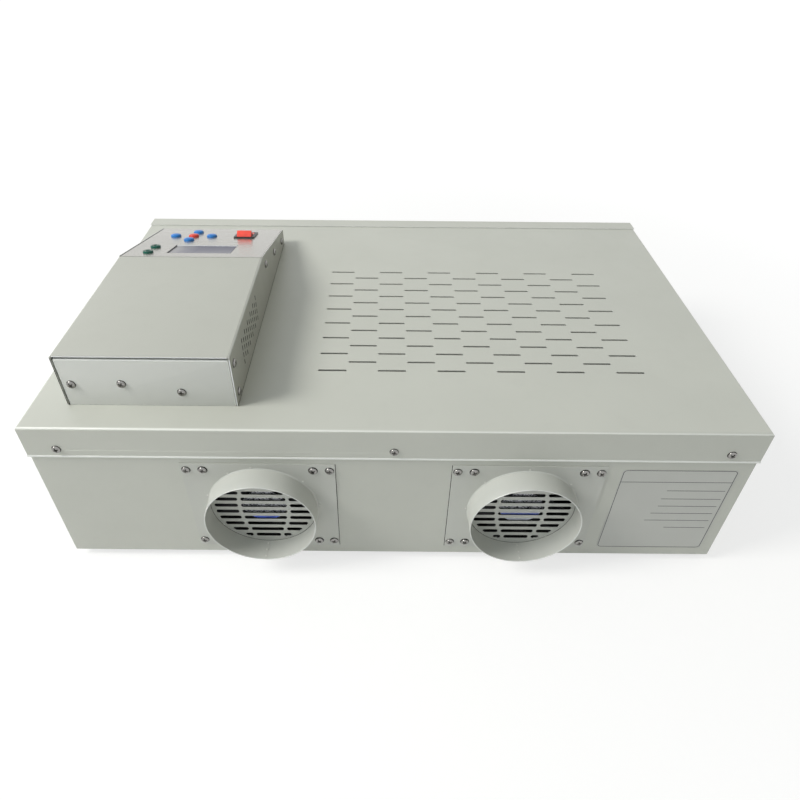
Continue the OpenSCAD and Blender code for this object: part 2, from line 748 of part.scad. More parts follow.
// Plate that closes the chamber's back, with a hole for each fan
module chamber_back_plate() color("#a9a9a6") difference() {
    translate([-chamber_w/2 - chamber_t, chamber_back, chamber_z - chamber_t])
        cube([chamber_w + 2*chamber_t, chamber_t, chamber_h + 2*chamber_t]);
    for (side = [-1, 1]) at_fan(side) translate([0, fan_front + cut, 0]) rotate([90, 0, 0])
        cylinder(h = chamber_t + 2*cut, d = exhaust_d);
    for (x = probe_x) translate([x, fan_front + cut, probe_z]) rotate([90, 0, 0])
        cylinder(h = chamber_t + 2*cut, d = probe_d + screw_play, $fn = 32);
}

foot_pocket = nut_d + 3;     // hole in the floor's wool around a foot's nut
inlet_pocket = 1;            // gap in the side's wool around the mains inlet
module insulation() color("#ddd8c8") difference() {
    len = fan_front - tray_front - lip_w;
    union() {
        translate([-chamber_w/2 - chamber_t - side_wool, tray_front + lip_w, base_z + sheet_t])
            cube([chamber_w + 2*chamber_t + 2*side_wool, len, floor_wool]);
        translate([-chamber_w/2 - chamber_t, tray_front + lip_w, chamber_top + chamber_t])
            cube([chamber_w + 2*chamber_t, len, top_wool]);
        for (s = [-1, 1]) translate([s*(chamber_w + 2*chamber_t + side_wool)/2, tray_front + lip_w, 0])
            translate([-side_wool/2, 0, chamber_z - chamber_t])
                cube([side_wool, len, chamber_h + 2*chamber_t]);
    }
    for (p = foot_spots) translate([p.x, p.y, base_z])
        cylinder(h = sheet_t + floor_wool + cut, d = foot_pocket);
    inlet_hole(inlet_body_d + inlet_pocket, inlet_pocket);
}

tube_y = [for (i = [0 : tubes - 1]) chamber_mid_y + (i - (tubes - 1)/2)*tube_pitch];
bracket_x = chamber_w/2 - bracket_inset;

// Lays a drawing of (y, z) square to X; it grows towards +X
module along_x(x) translate([x, 0, 0]) rotate([90, 0, 90]) children();

// Reflector: an arched trough over each tube
module reflector() color("#d6d6d6") along_x(-bracket_x + bracket_t/2 + soft_gap)
    linear_extrude(2*(bracket_x - bracket_t/2 - soft_gap)) {
        for (y = tube_y) translate([y, tube_z]) difference() {
            circle(tube_drop, $fn = 96);
            circle(tube_drop - reflector_t, $fn = 96);
            translate([-tube_drop - cut, -tube_drop - cut])
                square([2*tube_drop + 2*cut, tube_drop + cut + reflector_up]);
        }
        for (i = [0 : tubes - 2])
            translate([tube_y[i] + reflector_half - reflector_t, tube_z + reflector_up])
                square([tube_pitch - 2*reflector_half + 2*reflector_t, reflector_t]);
    }
reflector_t = 0.8;
reflector_up = 6;            // lower edge of the troughs above the tubes' axes
reflector_half = sqrt(pow(tube_drop, 2) - pow(reflector_up, 2));

bracket_end = 20;            // bracket beyond the outer tubes' axes
bracket_low = 12;            // and below them
cap_play = 0.1;
module tube_brackets() color("#b0b0ac") for (s = [-1, 1]) {
    len = tube_y[tubes - 1] - tube_y[0] + 2*bracket_end;
    along_x(s*bracket_x - bracket_t/2) linear_extrude(bracket_t) difference() {
        translate([tube_y[0] - bracket_end, tube_z - bracket_low]) square([len, tube_drop + bracket_low]);
        for (y = tube_y) translate([y, tube_z]) circle(cap_d/2 + cap_play, $fn = 48);
    }
    translate([s > 0 ? bracket_x : -chamber_w/2, tube_y[0] - bracket_end, chamber_top - bracket_t])
        cube([bracket_inset, len, bracket_t]);
}

module heater_tubes() color("#e8eef0") for (y = tube_y)
    translate([-tube_len/2, y, tube_z]) rotate([0, 90, 0]) difference() {
        cylinder(h = tube_len, d = tube_d, $fn = 48);
        translate([0, 0, -cut]) cylinder(h = tube_len + 2*cut, d = tube_d - 2*tube_wall, $fn = 48);
    }

coil_d = 3;
module heater_coils() color("#8a8078") for (y = tube_y)
    translate([-tube_len/2, y, tube_z]) rotate([0, 90, 0]) cylinder(h = tube_len, d = coil_d, $fn = 24);

module tube_caps() color("#efece2") for (y = tube_y, s = [-1, 1])
    translate([s*tube_len/2, y, tube_z]) rotate([0, s*90, 0]) difference() {
        translate([0, 0, -cap_len/2]) cylinder(h = cap_len, d = cap_d, $fn = 48);
        translate([0, 0, -cap_len/2 - cut]) cylinder(h = cap_len/2 + cut, d = tube_d + cap_play, $fn = 48);
    }

probe_gap = 9.3;             // probes beside the fans
probe_up = 72;               // and over the chamber's floor
probe_x = [for (s = [-1, 1]) s*(fan_spacing/2 - fan_size/2 - probe_gap)];
probe_z = chamber_z + probe_up;
probe_d = 3;
probe_len = 60;
probe_out = 14;              // probe's end behind the chamber
probe_nut_d = 9;
probe_nut_h = 6;
module thermocouples() color("#c2b8a0") for (x = probe_x) translate([x, fan_front, probe_z]) {
    translate([0, probe_out, 0]) rotate([90, 0, 0]) cylinder(h = probe_len, d = probe_d, $fn = 32);
    translate([0, probe_nut_h, 0]) rotate([90, 0, 0]) cylinder(h = probe_nut_h, d = probe_nut_d, $fn = 6);
}

// ---------- rails ----------

// Channel of a rail, open towards the drawer: web at u0, outer half height v
module rail_channel(u0, u1, v, side) {
    difference() {
        translate([u0, -v]) square([u1 - u0, 2*v]);
        translate([side < 0 ? u0 - cut : u0 + rail_t, -v + rail_t])
            square([u1 - u0 - rail_t + cut, 2*v - 2*rail_t]);
    }
}

// Places a channel's drawing, with u measured inwards from the chamber's wall
module at_rail(side, y) translate([side*chamber_w/2, y + rail_len, rail_z])
    mirror([side > 0 ? 1 : 0, 0, 0]) rotate([90, 0, 0]) linear_extrude(rail_len) children();

rail_v = rail_h/2;
rail_v2 = rail_v - rail_t - rail_gap;
rail_v3 = rail_v2 - rail_t - rail_gap;
rail_u2 = rail_t + rail_gap;
rail_u3 = rail_u2 + rail_t + rail_gap;
rail_lap = 3.5;              // inner members beyond the outer ones
rail_lip = rail_w - rail_lap;

module rail_outer(side) color("#c4c7ca") at_rail(side, rail_front)
    rail_channel(0, rail_lip, rail_v, 1);
module rail_middle(side) color("#bfc2c6") at_rail(side, rail_front)
    rail_channel(rail_u2, rail_lip, rail_v2, 1);
module rail_inner(side) color("#c8cbce") at_rail(side, rail_front)
    rail_channel(rail_u3, rail_w, rail_v3, -1);

// ---------- drawer ----------

// Front: a shallow folded panel, open at the back
module drawer_front() color("#bdbdb5") translate([0, front_face, front_mid_z]) difference() {
    translate([-front_w/2, 0, -front_h/2]) cube([front_w, front_t, front_h]);
    translate([-front_w/2 + sheet_t, sheet_t, -front_h/2 + sheet_t])
        cube([front_w - 2*sheet_t, front_t, front_h - 2*sheet_t]);
    translate([0, sheet_t + cut, window_z - front_mid_z]) rotate([90, 0, 0])
        linear_extrude(sheet_t + 2*cut) round_rect(window_w, window_h, window_r);
    for (s = [-1, 1]) translate([s*handle_len/2, sheet_t + cut, -handle_drop]) rotate([90, 0, 0])
        cylinder(h = sheet_t + 2*cut, d = screw_d + screw_play, $fn = 32);
}

// Sheet that closes the back of the drawer's front
module drawer_liner() color("#a9a9a6") translate([0, front_back - liner_t, front_mid_z]) difference() {
    translate([-front_w/2 + sheet_t, 0, -front_h/2 + sheet_t])
        cube([front_w - 2*sheet_t, liner_t, front_h - 2*sheet_t]);
    translate([0, liner_t + cut, window_z - front_mid_z]) rotate([90, 0, 0])
        linear_extrude(liner_t + 2*cut) round_rect(window_w, window_h, window_r);
}

module pane(y) translate([0, y + pane_t, window_z]) rotate([90, 0, 0]) linear_extrude(pane_t)
    round_rect(window_w + 2*pane_lap, window_h + 2*pane_lap, window_r);

module window_panes() color("#3b3a36") {
    pane(front_face + sheet_t);
    pane(front_back - liner_t - pane_t);
}

module window_spacer() color("#6f7173")
    translate([0, front_back - liner_t - pane_t, window_z]) rotate([90, 0, 0])
        linear_extrude(spacer_t) difference() {
            round_rect(window_w + 2*pane_lap, window_h + 2*pane_lap, window_r);
            round_rect(window_w, window_h, window_r);
        }

module drawer_seal() color("#7c4a3a") translate([0, front_y - soft_gap, front_mid_z]) rotate([90, 0, 0])
    linear_extrude(seal_t - soft_gap) difference() {
        square([chamber_w + 2*seal_w, chamber_h + 2*seal_w], center = true);
        square([chamber_w, chamber_h], center = true);
    }

handle_bite = 5;             // handle's studs behind the front's sheet
module drawer_handle() color("#3a3b3d") translate([0, front_face, handle_z]) {
    translate([-handle_len/2 - handle_d/2, -handle_out + handle_d/2, 0]) rotate([0, 90, 0])
        cylinder(h = handle_len + handle_d, d = handle_d);
    for (s = [-1, 1]) translate([s*handle_len/2, 0, 0]) {
        rotate([90, 0, 0]) cylinder(h = handle_out - handle_d/2, d = post_d);
        rotate([-90, 0, 0]) cylinder(h = sheet_t + handle_bite, d = screw_d, $fn = 32);
    }
}

// Pan that carries the rack between the rails
module drawer_pan() color("#b3b3b0") difference() {
    translate([-pan_w/2, front_back, pan_z]) cube([pan_w, pan_back - front_back, pan_h]);
    translate([-pan_w/2 + pan_t, front_back + pan_t, pan_z + pan_t])
        cube([pan_w - 2*pan_t, pan_back - front_back - 2*pan_t, pan_h]);
}

rack_z = pan_z + pan_t + rack_h;
rack_gap = 4;                // between the rack and the pan's walls
rack_w = pan_w - 2*(pan_t + rack_gap);
rack_front = front_back + pan_t + rack_gap;
rack_back = pan_back - pan_t - rack_gap;
rack_leg_in = 30;            // rack's legs from its ends
rack_end_wire = rack_wire - 0.5;
rack_leg_wire = rack_wire - 1;
rack_wires = floor((rack_w - wire_pitch)/wire_pitch);

module wire(a, b, d) let (v = b - a, len = norm(v))
    translate(a) rotate([0, acos(v.z/len), atan2(v.y, v.x)]) cylinder(h = len, d = d, $fn = 16);

module board_rack() color("#cfcfcd") {
    x = rack_w/2 - rack_wire/2;
    y0 = rack_front + rack_wire;
    y1 = rack_back - rack_wire;
    z = rack_z - rack_wire/2;
    for (s = [-1, 1]) wire([s*x, rack_front, z], [s*x, rack_back, z], rack_wire);
    for (y = [y0, y1]) wire([-x, y, z], [x, y, z], rack_end_wire);
    for (s = [-1, 1], y = [y0 + rack_leg_in, y1 - rack_leg_in])
        wire([s*x, y, pan_z + pan_t], [s*x, y, z], rack_leg_wire);
    for (i = [0 : rack_wires])
        wire([(i - rack_wires/2)*wire_pitch, y0, z], [(i - rack_wires/2)*wire_pitch, y1, z], cross_wire);
}

// ---------- controller box ----------

module at_ctrl() translate([ctrl_x, ctrl_back, top_z]) children();

// Cover: top and two sides, folded from one sheet; the slope is left open
module ctrl_cover() color("#c0c0b8") at_ctrl() difference() {
    intersection() {
        rotate([90, 0, 0]) linear_extrude(ctrl_len) round_top(ctrl_w, ctrl_h, bend_r);
        rotate([90, 0, -90]) translate([0, 0, -ctrl_w/2]) linear_extrude(ctrl_w) polygon([
            [0, ctrl_lift], [0, ctrl_h], [ctrl_flat, ctrl_h],
            [ctrl_len, nose_h], [ctrl_len, ctrl_lift]]);
    }
    translate([0, cut, -cut]) rotate([90, 0, 0]) linear_extrude(ctrl_flat + cut)
        round_top(ctrl_w - 2*ctrl_t, ctrl_h - ctrl_t + cut, bend_r - ctrl_t);
    translate([-ctrl_w/2 + ctrl_t, -ctrl_len - cut, -cut])
        cube([ctrl_w - 2*ctrl_t, ctrl_len - ctrl_flat + 2*cut, ctrl_h + 3*cut]);
    ctrl_vents();
    for (s = [-1, 1]) for (p = ctrl_side_spots) translate([s*ctrl_w/2, -p[0], p[1]])
        rotate([0, 90, 0]) cylinder(h = 4*ctrl_t, d = small_d + screw_play, center = true, $fn = 32);
}

// Vents in both side walls: columns of upright slits, staggered by half a pitch
vent_columns = 11;
vent_rows = 4;               // slits in a long column; the columns between have one less
vent_pitch = 8;
vent_len = 5.6;
vent_w = 1.8;
vent_mid = 89;               // middle of the vents from the back of the box
vent_z = 28.5;               // middle of the vents over the body's top
module ctrl_vents() for (c = [0 : vent_columns - 1])
    let (n = c % 2 == 0 ? vent_rows : vent_rows - 1)
        for (r = [0 : n - 1])
            translate([0, -vent_mid - (c - (vent_columns - 1)/2)*vent_pitch, 0])
                translate([0, 0, vent_z + (r - (n - 1)/2)*vent_pitch]) rotate([90, 0, 90])
                    linear_extrude(ctrl_w + 2*cut, center = true)
                        rotate([0, 0, 90]) slot2d(vent_len, vent_w);

// Side screws as [distance forward, height]: two at the back, three along the slope
corner_screw_in = 11;        // from the back of the box
corner_screw_top = 14;       // below the top of the box
corner_screw_up = 9.7;       // over the body
slope_screw_in = 12;         // below the slope's edge
slope_screw_start = 13.5;    // first screw from the bend
slope_screw_end = 20.5;      // last screw from the front of the box
slope_screw_pitch = (slope_run - slope_screw_start - slope_screw_end)/2;
ctrl_side_spots = concat(
    [for (z = [ctrl_h - corner_screw_top, corner_screw_up]) [corner_screw_in, z]],
    [for (i = [0 : 2]) let (d = ctrl_len - slope_screw_end - i*slope_screw_pitch)
        [d, ctrl_h - (d - ctrl_flat)*tan(slope) - slope_screw_in]]);
// Back screws as [x, height]
back_screw_in = 10.3;        // first screw from the side of the box
back_screw_spots = [[0, 24.3], [46, 25.3], [99.2, 16.1]];
ctrl_back_spots = [for (p = back_screw_spots) [ctrl_w/2 - back_screw_in - p[0], p[1]]];

base_flange = 4;             // height of the base's side flanges
module ctrl_base() color("#b6b6ae") at_ctrl() difference() {
    in_w = ctrl_w - 2*ctrl_t;
    union() {
        translate([-in_w/2, -ctrl_len, 0]) cube([in_w, ctrl_len - back_recess - ctrl_t, ctrl_t]);
        for (s = [-1, 1]) translate([s*(in_w/2 - ctrl_t/2) - ctrl_t/2, -ctrl_len + ctrl_t, 0])
            cube([ctrl_t, ctrl_len - back_recess - 2*ctrl_t, base_flange]);
        translate([-in_w/2, -ctrl_len, 0]) cube([in_w, ctrl_t, nose_h - 2*ctrl_t]);
    }
    translate([0, bush_y - ctrl_back, -cut]) cylinder(h = ctrl_t + 2*cut, d = bush_d);
}

back_flange = 16;            // reach of the back panel's side flanges
module ctrl_back_panel() color("#b9b9b1") at_ctrl() difference() {
    in_w = ctrl_w - 2*ctrl_t;
    union() {
        translate([0, -back_recess, 0]) rotate([90, 0, 0])
            linear_extrude(ctrl_t) round_top(in_w, ctrl_h - ctrl_t, bend_r - ctrl_t);
        for (s = [-1, 1]) translate([s*(in_w - ctrl_t)/2 - ctrl_t/2, -back_recess - back_flange, base_flange])
            translate([0, 0, ctrl_t]) cube([ctrl_t, back_flange, ctrl_h - base_flange - 4*ctrl_t]);
    }
    for (s = [-1, 1]) for (p = ctrl_side_spots) translate([s*ctrl_w/2, -p[0], p[1]])
        rotate([0, 90, 0]) cylinder(h = 8*ctrl_t, d = small_d + screw_play, center = true, $fn = 32);
    for (p = ctrl_back_spots) translate([p[0], 0, p[1]]) rotate([90, 0, 0])
        cylinder(h = back_recess + 3*ctrl_t, d = small_d + screw_play, $fn = 32);
}

flange_low = 8;              // panel's flanges end before the nose
flange_top = 6;              // and before the bend
// Sloping control panel with flanges down its sides
module ctrl_panel() color("#cfcdc4") difference() {
    on_slope(0, 0) union() {
        translate([-panel_w/2, -slope_len + ctrl_t, -ctrl_t]) cube([panel_w, slope_len - 2*ctrl_t, ctrl_t]);
        for (s = [-1, 1])
            translate([s*(panel_w - ctrl_t)/2 - ctrl_t/2, -slope_len + flange_low, -flange_h])
                cube([ctrl_t, slope_len - flange_low - flange_top, flange_h]);
    }
    for (p = key_spots) on_slope(keys_x + p[0], keys_s + p[1])
        translate([0, 0, -2*ctrl_t]) cylinder(h = 4*ctrl_t, d = key_d + 2*key_gap, $fn = 48);
    on_slope(lcd_x, lcd_s) translate([-lcd_w/2, -lcd_h/2, -2*ctrl_t]) cube([lcd_w, lcd_h, 4*ctrl_t]);
    on_slope(rocker_x, rocker_s) translate([0, 0, -ctrl_t/2])
        cube([rocker_body_w + soft_gap, rocker_body_len + soft_gap, 4*ctrl_t], center = true);
    for (s = jack_spots) on_slope(jack_x, s) translate([0, 0, -2*ctrl_t])
        cylinder(h = 4*ctrl_t, d = jack_thread_d + screw_play, $fn = 48);
    at_ctrl() for (s = [-1, 1]) for (p = ctrl_side_spots) translate([s*ctrl_w/2, -p[0], p[1]])
        rotate([0, 90, 0]) cylinder(h = 8*ctrl_t, d = small_d + screw_play, center = true, $fn = 32);
}

module ctrl_screws() color("#c9c9c6") at_ctrl() {
    for (s = [-1, 1]) for (p = ctrl_side_spots) translate([s*ctrl_w/2, -p[0], p[1]])
        rotate([0, s*90, 0]) pan_screw(small_head, small_head_h, small_d, small_reach);
    for (p = ctrl_back_spots) translate([p[0], -back_recess, p[1]]) rotate([-90, 0, 0])
        pan_screw(small_head, small_head_h, small_d, small_reach);
}

// ---------- controls ----------

key_spots = [[0, -key_pitch], [0, key_pitch], [-key_pitch, 0], [key_pitch, 0], [0, 0]];
jack_spots = [jack_s, jack_s + jack_pitch];
key_foot = 1.5;              // thickness of a key's flange under the panel
key_foot_lap = 1.5;          // flange beyond the key's edge
key_dome = 1.6;
key_stem_d = 5;
switch_w = 6;
switch_h = 5;

// Round domed key with a flange under the panel and a stem down to its switch
module key(i, shade) color(shade) on_slope(keys_x + key_spots[i][0], keys_s + key_spots[i][1]) {
    low = -ctrl_t - soft_gap - key_foot;
    stem_low = -board_drop + switch_h + key_travel + soft_gap;
    dome_r = (pow(key_d/2, 2) + pow(key_dome, 2))/(2*key_dome);
    intersection() {
        translate([0, 0, low]) cylinder(h = key_out - low, d = key_d, $fn = 48);
        translate([0, 0, key_out - dome_r]) sphere(dome_r, $fn = 96);
    }
    translate([0, 0, low]) cylinder(h = key_foot, d = key_d + 2*key_foot_lap, $fn = 48);
    translate([0, 0, stem_low]) cylinder(h = low - stem_low, d = key_stem_d, $fn = 32);
}

// Control board and its posts
board_side = 8.2;            // gap beside the board
board_w = panel_w - 2*(ctrl_t + board_side);
board_len = 84;
board_up = 48;               // board's middle from the low end of the slope
board_post_in = 5;           // posts from the board's edges
board_post_d = 5;
module ctrl_board() color("#2f6b3f") on_slope(0, slope_len - board_up)
    translate([-board_w/2, -board_len/2, -board_drop - board_t]) cube([board_w, board_len, board_t]);

module board_posts() color("#c8a94e") for (x = [-1, 1], y = [-1, 1])
    on_slope(x*(board_w/2 - board_post_in), slope_len - board_up + y*(board_len/2 - board_post_in))
        translate([0, 0, -board_drop]) cylinder(h = board_drop - ctrl_t, d = board_post_d, $fn = 6);

module key_switches() color("#2a2a2c") for (p = key_spots) on_slope(keys_x + p[0], keys_s + p[1])
    translate([-switch_w/2, -switch_w/2, -board_drop]) cube([switch_w, switch_w, switch_h]);

// Block centred on the display, from depth z upwards, reaching past the window by lap
module display_block(lap, z, h) on_slope(lcd_x, lcd_s)
    translate([-lcd_w/2 - lap, -lcd_h/2 - lap, z]) cube([lcd_w + 2*lap, lcd_h + 2*lap, h]);

lcd_lens_t = 1.5;
lcd_lens_in = 0.8;           // display's glass behind the panel's back face
lcd_frame_t = 7;
lcd_lens_z = -ctrl_t - lcd_lens_in - lcd_lens_t;
lcd_frame_z = lcd_lens_z - lcd_frame_t;
lcd_lens_lap = 2;            // glass, frame and board beyond the window
lcd_frame_lap = 4;
lcd_board_lap = 8;
module display_window() color("#5b6068") display_block(lcd_lens_lap, lcd_lens_z, lcd_lens_t);

module display_module() color("#26302a") {
    display_block(lcd_frame_lap, lcd_frame_z, lcd_frame_t);
    display_block(lcd_board_lap, lcd_frame_z - board_t, board_t);
}

rocker_lip = 1.8;            // reach of the bezel over the panel
rocker_wall = 3.5;           // bezel's edge to the rocker's well, at the sides
rocker_bore_in = 2.6;        // bezel's edge to the end of the pivot's bore
rocker_depth = 14;           // switch's body below the panel
rocker_low = 4;              // rocker below its pivot
rocker_body_w = rocker_w - 2*rocker_lip;
rocker_body_len = rocker_len - 2*rocker_lip;
rocker_win_w = rocker_w - 2*rocker_wall;
rocker_top = rocker_rise - rocker_pivot;
rocker_well = rocker_low - rocker_pivot + rocker_r*sin(rocker_tilt) + soft_gap;
rocker_pin_len = rocker_w - 2*rocker_bore_in;

module rocker_bezel() color("#1d1d1f") on_slope(rocker_x, rocker_s) difference() {
    union() {
        translate([-rocker_w/2, -rocker_len/2, 0]) cube([rocker_w, rocker_len, rocker_ring]);
        translate([-rocker_body_w/2, -rocker_body_len/2, -rocker_depth])
            cube([rocker_body_w, rocker_body_len, rocker_depth]);
    }
    translate([-rocker_win_w/2, -rocker_r - soft_gap, -rocker_well])
        cube([rocker_win_w, 2*rocker_r + 2*soft_gap, rocker_well + rocker_ring + cut]);
    translate([0, 0, rocker_pivot]) rotate([0, 90, 0])
        cylinder(h = rocker_pin_len, d = rocker_pin + 2*pivot_play, center = true, $fn = 48);
}

// Rocker with a V top; at rest its low end is pressed and its high end stands up
module rocker() color("#c8221c") on_slope(rocker_x, rocker_s) translate([0, 0, rocker_pivot])
    rotate([rocker_tilt, 0, 0]) {
        rise = rocker_top + rocker_r*tan(rocker_tilt);
        rotate([90, 0, 90]) linear_extrude(rocker_win_w - 2*soft_gap, center = true) intersection() {
            circle(rocker_r, $fn = 96);
            polygon([[-rocker_r, -rocker_low], [rocker_r, -rocker_low], [rocker_r, rise],
                [0, rocker_top], [-rocker_r, rise]]);
        }
        rotate([0, 90, 0]) cylinder(h = rocker_pin_len - 2*soft_gap, d = rocker_pin, center = true, $fn = 48);
    }

jack_rim = 1.7;              // jack's edge beyond its thread
jack_thread_d = jack_d - 2*jack_rim;
jack_depth = 12;             // jack's thread below the panel
jack_hole = 8;               // bore below the panel
jack_nut_d = jack_d + 2;
jack_nut_h = 3;
module sensor_jacks() color("#1d4a3c") for (s = jack_spots) on_slope(jack_x, s) difference() {
    union() {
        cylinder(h = jack_out, d = jack_d, $fn = 48);
        translate([0, 0, -jack_depth]) cylinder(h = jack_depth + cut, d = jack_thread_d, $fn = 48);
        translate([0, 0, -ctrl_t - jack_nut_h]) cylinder(h = jack_nut_h, d = jack_nut_d, $fn = 6);
    }
    translate([0, 0, -jack_hole]) cylinder(h = jack_hole + jack_out + cut, d = jack_bore, $fn = 48);
}

// Supply board with a transformer, a relay, a finned heat sink and capacitors
unit_x = 8;                  // middle of the board from the middle of the box
unit_back = 32;              // board's edge from the back of the box
unit_w = 116;
unit_len = 136;
unit_up = 6;                 // height of its feet, and their place from its edges
unit_edge = 8;               // parts from the board's edges
former_w = 42;
former_len = 36;
former_h = 32;
relay_w = 28;
relay_len = 24;
relay_h = 18;
sink_w = 60;
sink_len = 52;
sink_h = 30;
sink_base = 5;
fins = 7;
fin_t = 2.4;
fin_pitch = (sink_w - fin_t)/fins;
cap_can_d = 13;
cap_can_h = 24;
cap_can_pitch = 18;
module power_unit() color("#3c6e48") at_ctrl() translate([unit_x - unit_w/2, -unit_back - unit_len, ctrl_t]) {
    for (x = [unit_up, unit_w - unit_up], y = [unit_up, unit_len - unit_up]) translate([x, y, 0])
        cylinder(h = unit_up, d = unit_up, $fn = 6);
    translate([0, 0, unit_up]) cube([unit_w, unit_len, board_t]);
    translate([unit_edge, unit_edge, unit_up + board_t]) {
        cube([former_w, former_len, former_h]);
        translate([former_w + unit_edge, 0, 0]) cube([relay_w, relay_len, relay_h]);
        translate([0, former_len + 2*unit_edge, 0]) difference() {
            cube([sink_w, sink_len, sink_h]);
            for (i = [0 : fins - 1]) translate([fin_t + i*fin_pitch, -cut, sink_base])
                cube([fin_pitch - fin_t, sink_len + 2*cut, sink_h]);
        }
        for (i = [0 : 2]) translate([sink_w + 2*unit_edge + cap_can_d/2, former_len + 2*unit_edge, 0])
            translate([0, cap_can_d/2 + i*cap_can_pitch, 0]) cylinder(h = cap_can_h, d = cap_can_d);
    }
}

// Bush that carries the wires from the controller into the body
bush_d = 22;
bush_in = 200;               // bush from the back of the box
bush_y = ctrl_back - bush_in;
bush_lip = 3;
bush_rim = 2;
module cable_bush() color("#1c1c1d") translate([ctrl_x, bush_y, top_z]) difference() {
    union() {
        translate([0, 0, -sheet_t]) cylinder(h = sheet_t + ctrl_t, d = bush_d);
        for (z = [ctrl_t, -sheet_t - bush_rim]) translate([0, 0, z])
            cylinder(h = bush_rim, d = bush_d + 2*bush_lip);
    }
    translate([0, 0, -5*bush_rim]) cylinder(h = 10*bush_rim, d = bush_d - 2*bush_lip);
}

base_tray();
front_frame();
top_cover();
body_screws();
feet();
foot_screws();
rating_plate();
mains_inlet();
duct_plate(1);  // duct_plate_left
duct_plate(-1);  // duct_plate_right
duct_collar(1);  // duct_collar_left
duct_collar(-1);  // duct_collar_right
plate_screws();
fan_frame(1);  // fan_frame_left
fan_frame(-1);  // fan_frame_right
fan_wheel(1);  // fan_wheel_left
fan_wheel(-1);  // fan_wheel_right
chamber();
chamber_back_plate();  // chamber_back
insulation();
reflector();
tube_brackets();
heater_tubes();
heater_coils();
tube_caps();
thermocouples();
rail_outer(1);  // rail_outer_left
rail_outer(-1);  // rail_outer_right
rail_middle(1);  // rail_middle_left
rail_middle(-1);  // rail_middle_right
rail_inner(1);  // rail_inner_left
rail_inner(-1);  // rail_inner_right
drawer_front();
drawer_liner();
window_panes();
window_spacer();
drawer_seal();
drawer_handle();
drawer_pan();
board_rack();
ctrl_base();
ctrl_cover();
ctrl_back_panel();
ctrl_panel();
ctrl_screws();
ctrl_board();
board_posts();
key_switches();
key(0, "#1f63b4");  // key_up
key(1, "#1f63b4");  // key_down
key(2, "#1f63b4");  // key_left
key(3, "#1f63b4");  // key_right
key(4, "#d23a34");  // key_enter
display_window();
display_module();
rocker_bezel();
rocker();
sensor_jacks();
power_unit();
cable_bush();
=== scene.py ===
import bpy, bmesh, math, random
from mathutils import Matrix, Vector
from mathutils import noise as field


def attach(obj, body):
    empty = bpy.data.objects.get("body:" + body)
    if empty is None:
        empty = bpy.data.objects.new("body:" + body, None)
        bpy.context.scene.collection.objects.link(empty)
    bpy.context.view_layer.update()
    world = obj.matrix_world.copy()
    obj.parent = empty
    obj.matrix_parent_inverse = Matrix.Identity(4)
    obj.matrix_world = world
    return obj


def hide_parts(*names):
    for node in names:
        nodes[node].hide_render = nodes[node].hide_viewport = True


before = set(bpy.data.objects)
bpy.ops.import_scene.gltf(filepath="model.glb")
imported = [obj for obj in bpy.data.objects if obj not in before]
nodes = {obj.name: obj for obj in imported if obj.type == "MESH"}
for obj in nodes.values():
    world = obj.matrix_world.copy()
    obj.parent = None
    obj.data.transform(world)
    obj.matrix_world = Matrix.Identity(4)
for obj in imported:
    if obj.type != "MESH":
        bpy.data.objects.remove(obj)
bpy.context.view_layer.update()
scene = bpy.context.scene
MM = 0.001

# ---------------------------------------------------------------- places, in millimetres
BODY_W, BACK, FRONT, TOP = 683.0, 237.75, -209.25, 187.0
SKIRT_LOW, LIP_W = 153.0, 20.0
FAN_X, FAN_Z, PLATE_Y, HUB_Y = 129.3, 82.2, 237.25, 235.05
FAN_HOLES, PLATE_HOLES, GRILLE_R = 52.5, 68.3, 49.5
PLATE_W, JOINT_H, COLLAR_LEN = 147.0, 121.0, 24.0
CTRL_X, CTRL_W, CTRL_BACK, CTRL_LEN, CTRL_FLAT = 225.7, 159.2, 205.45, 341.0, 189.2
CTRL_H, CTRL_LOW = 56.2, 19.7
SLOPE = math.atan((CTRL_H - CTRL_LOW)/(CTRL_LEN - CTRL_FLAT))
SLOPE_LEN = (CTRL_LEN - CTRL_FLAT)/math.cos(SLOPE)
KEYS_X, KEYS_S, KEY_PITCH, KEY_R = 25.0, SLOPE_LEN - 48.1, 22.5, 6.2
LCD_X, LCD_S, LCD_W, LCD_H = -4.2, 38.5, 73.0, 41.0
ROCKER_X, ROCKER_S = -39.0, SLOPE_LEN - 41.1
ROCKER_R, ROCKER_PIVOT, ROCKER_RISE, ROCKER_TILT = 13.5, -2.5, 1.7, math.radians(18.0)
JACK_X, JACK_S = 53.0, (19.2, 45.7)
RATING_X, RATING_Z, RATING_W, RATING_H = -272.8, 80.5, 110.5, 117.0
INLET_Y, INLET_Z = 177.75, 44.0
FRONT_FACE, FRONT_MID_Z = -227.25, 87.2
HANDLE_Z, HANDLE_LEN, HANDLE_R, HANDLE_OUT = 37.2, 180.0, 6.0, 34.0
TUBE_Z, TUBE_LEN, TUBE_PITCH = 124.2, 572.0, 62.02
TUBE_Y = [-6.0 + (i - 2.5)*TUBE_PITCH for i in range(6)]


# ---------------------------------------------------------------- frames
def at(x, y, z):
    return Matrix.Translation((x, y, z))


def slope_frame(x, s):
    """Frame on the sloping panel: local X along the part's X, Y up the slope, Z off the panel."""
    return at(CTRL_X, CTRL_BACK - CTRL_FLAT, TOP + CTRL_H) @ Matrix.Rotation(SLOPE, 4, "X") @ at(x, -s, 0)


def back_wall(x, y, z):
    """Local X to the viewer's right, Y up, Z out of the back."""
    return Matrix(((-1, 0, 0, x), (0, 0, 1, y), (0, 1, 0, z), (0, 0, 0, 1)))


def front_wall(x, y, z):
    """Local X along the part's X, Y up, Z out of the front."""
    return Matrix(((1, 0, 0, x), (0, 0, -1, y), (0, 1, 0, z), (0, 0, 0, 1)))


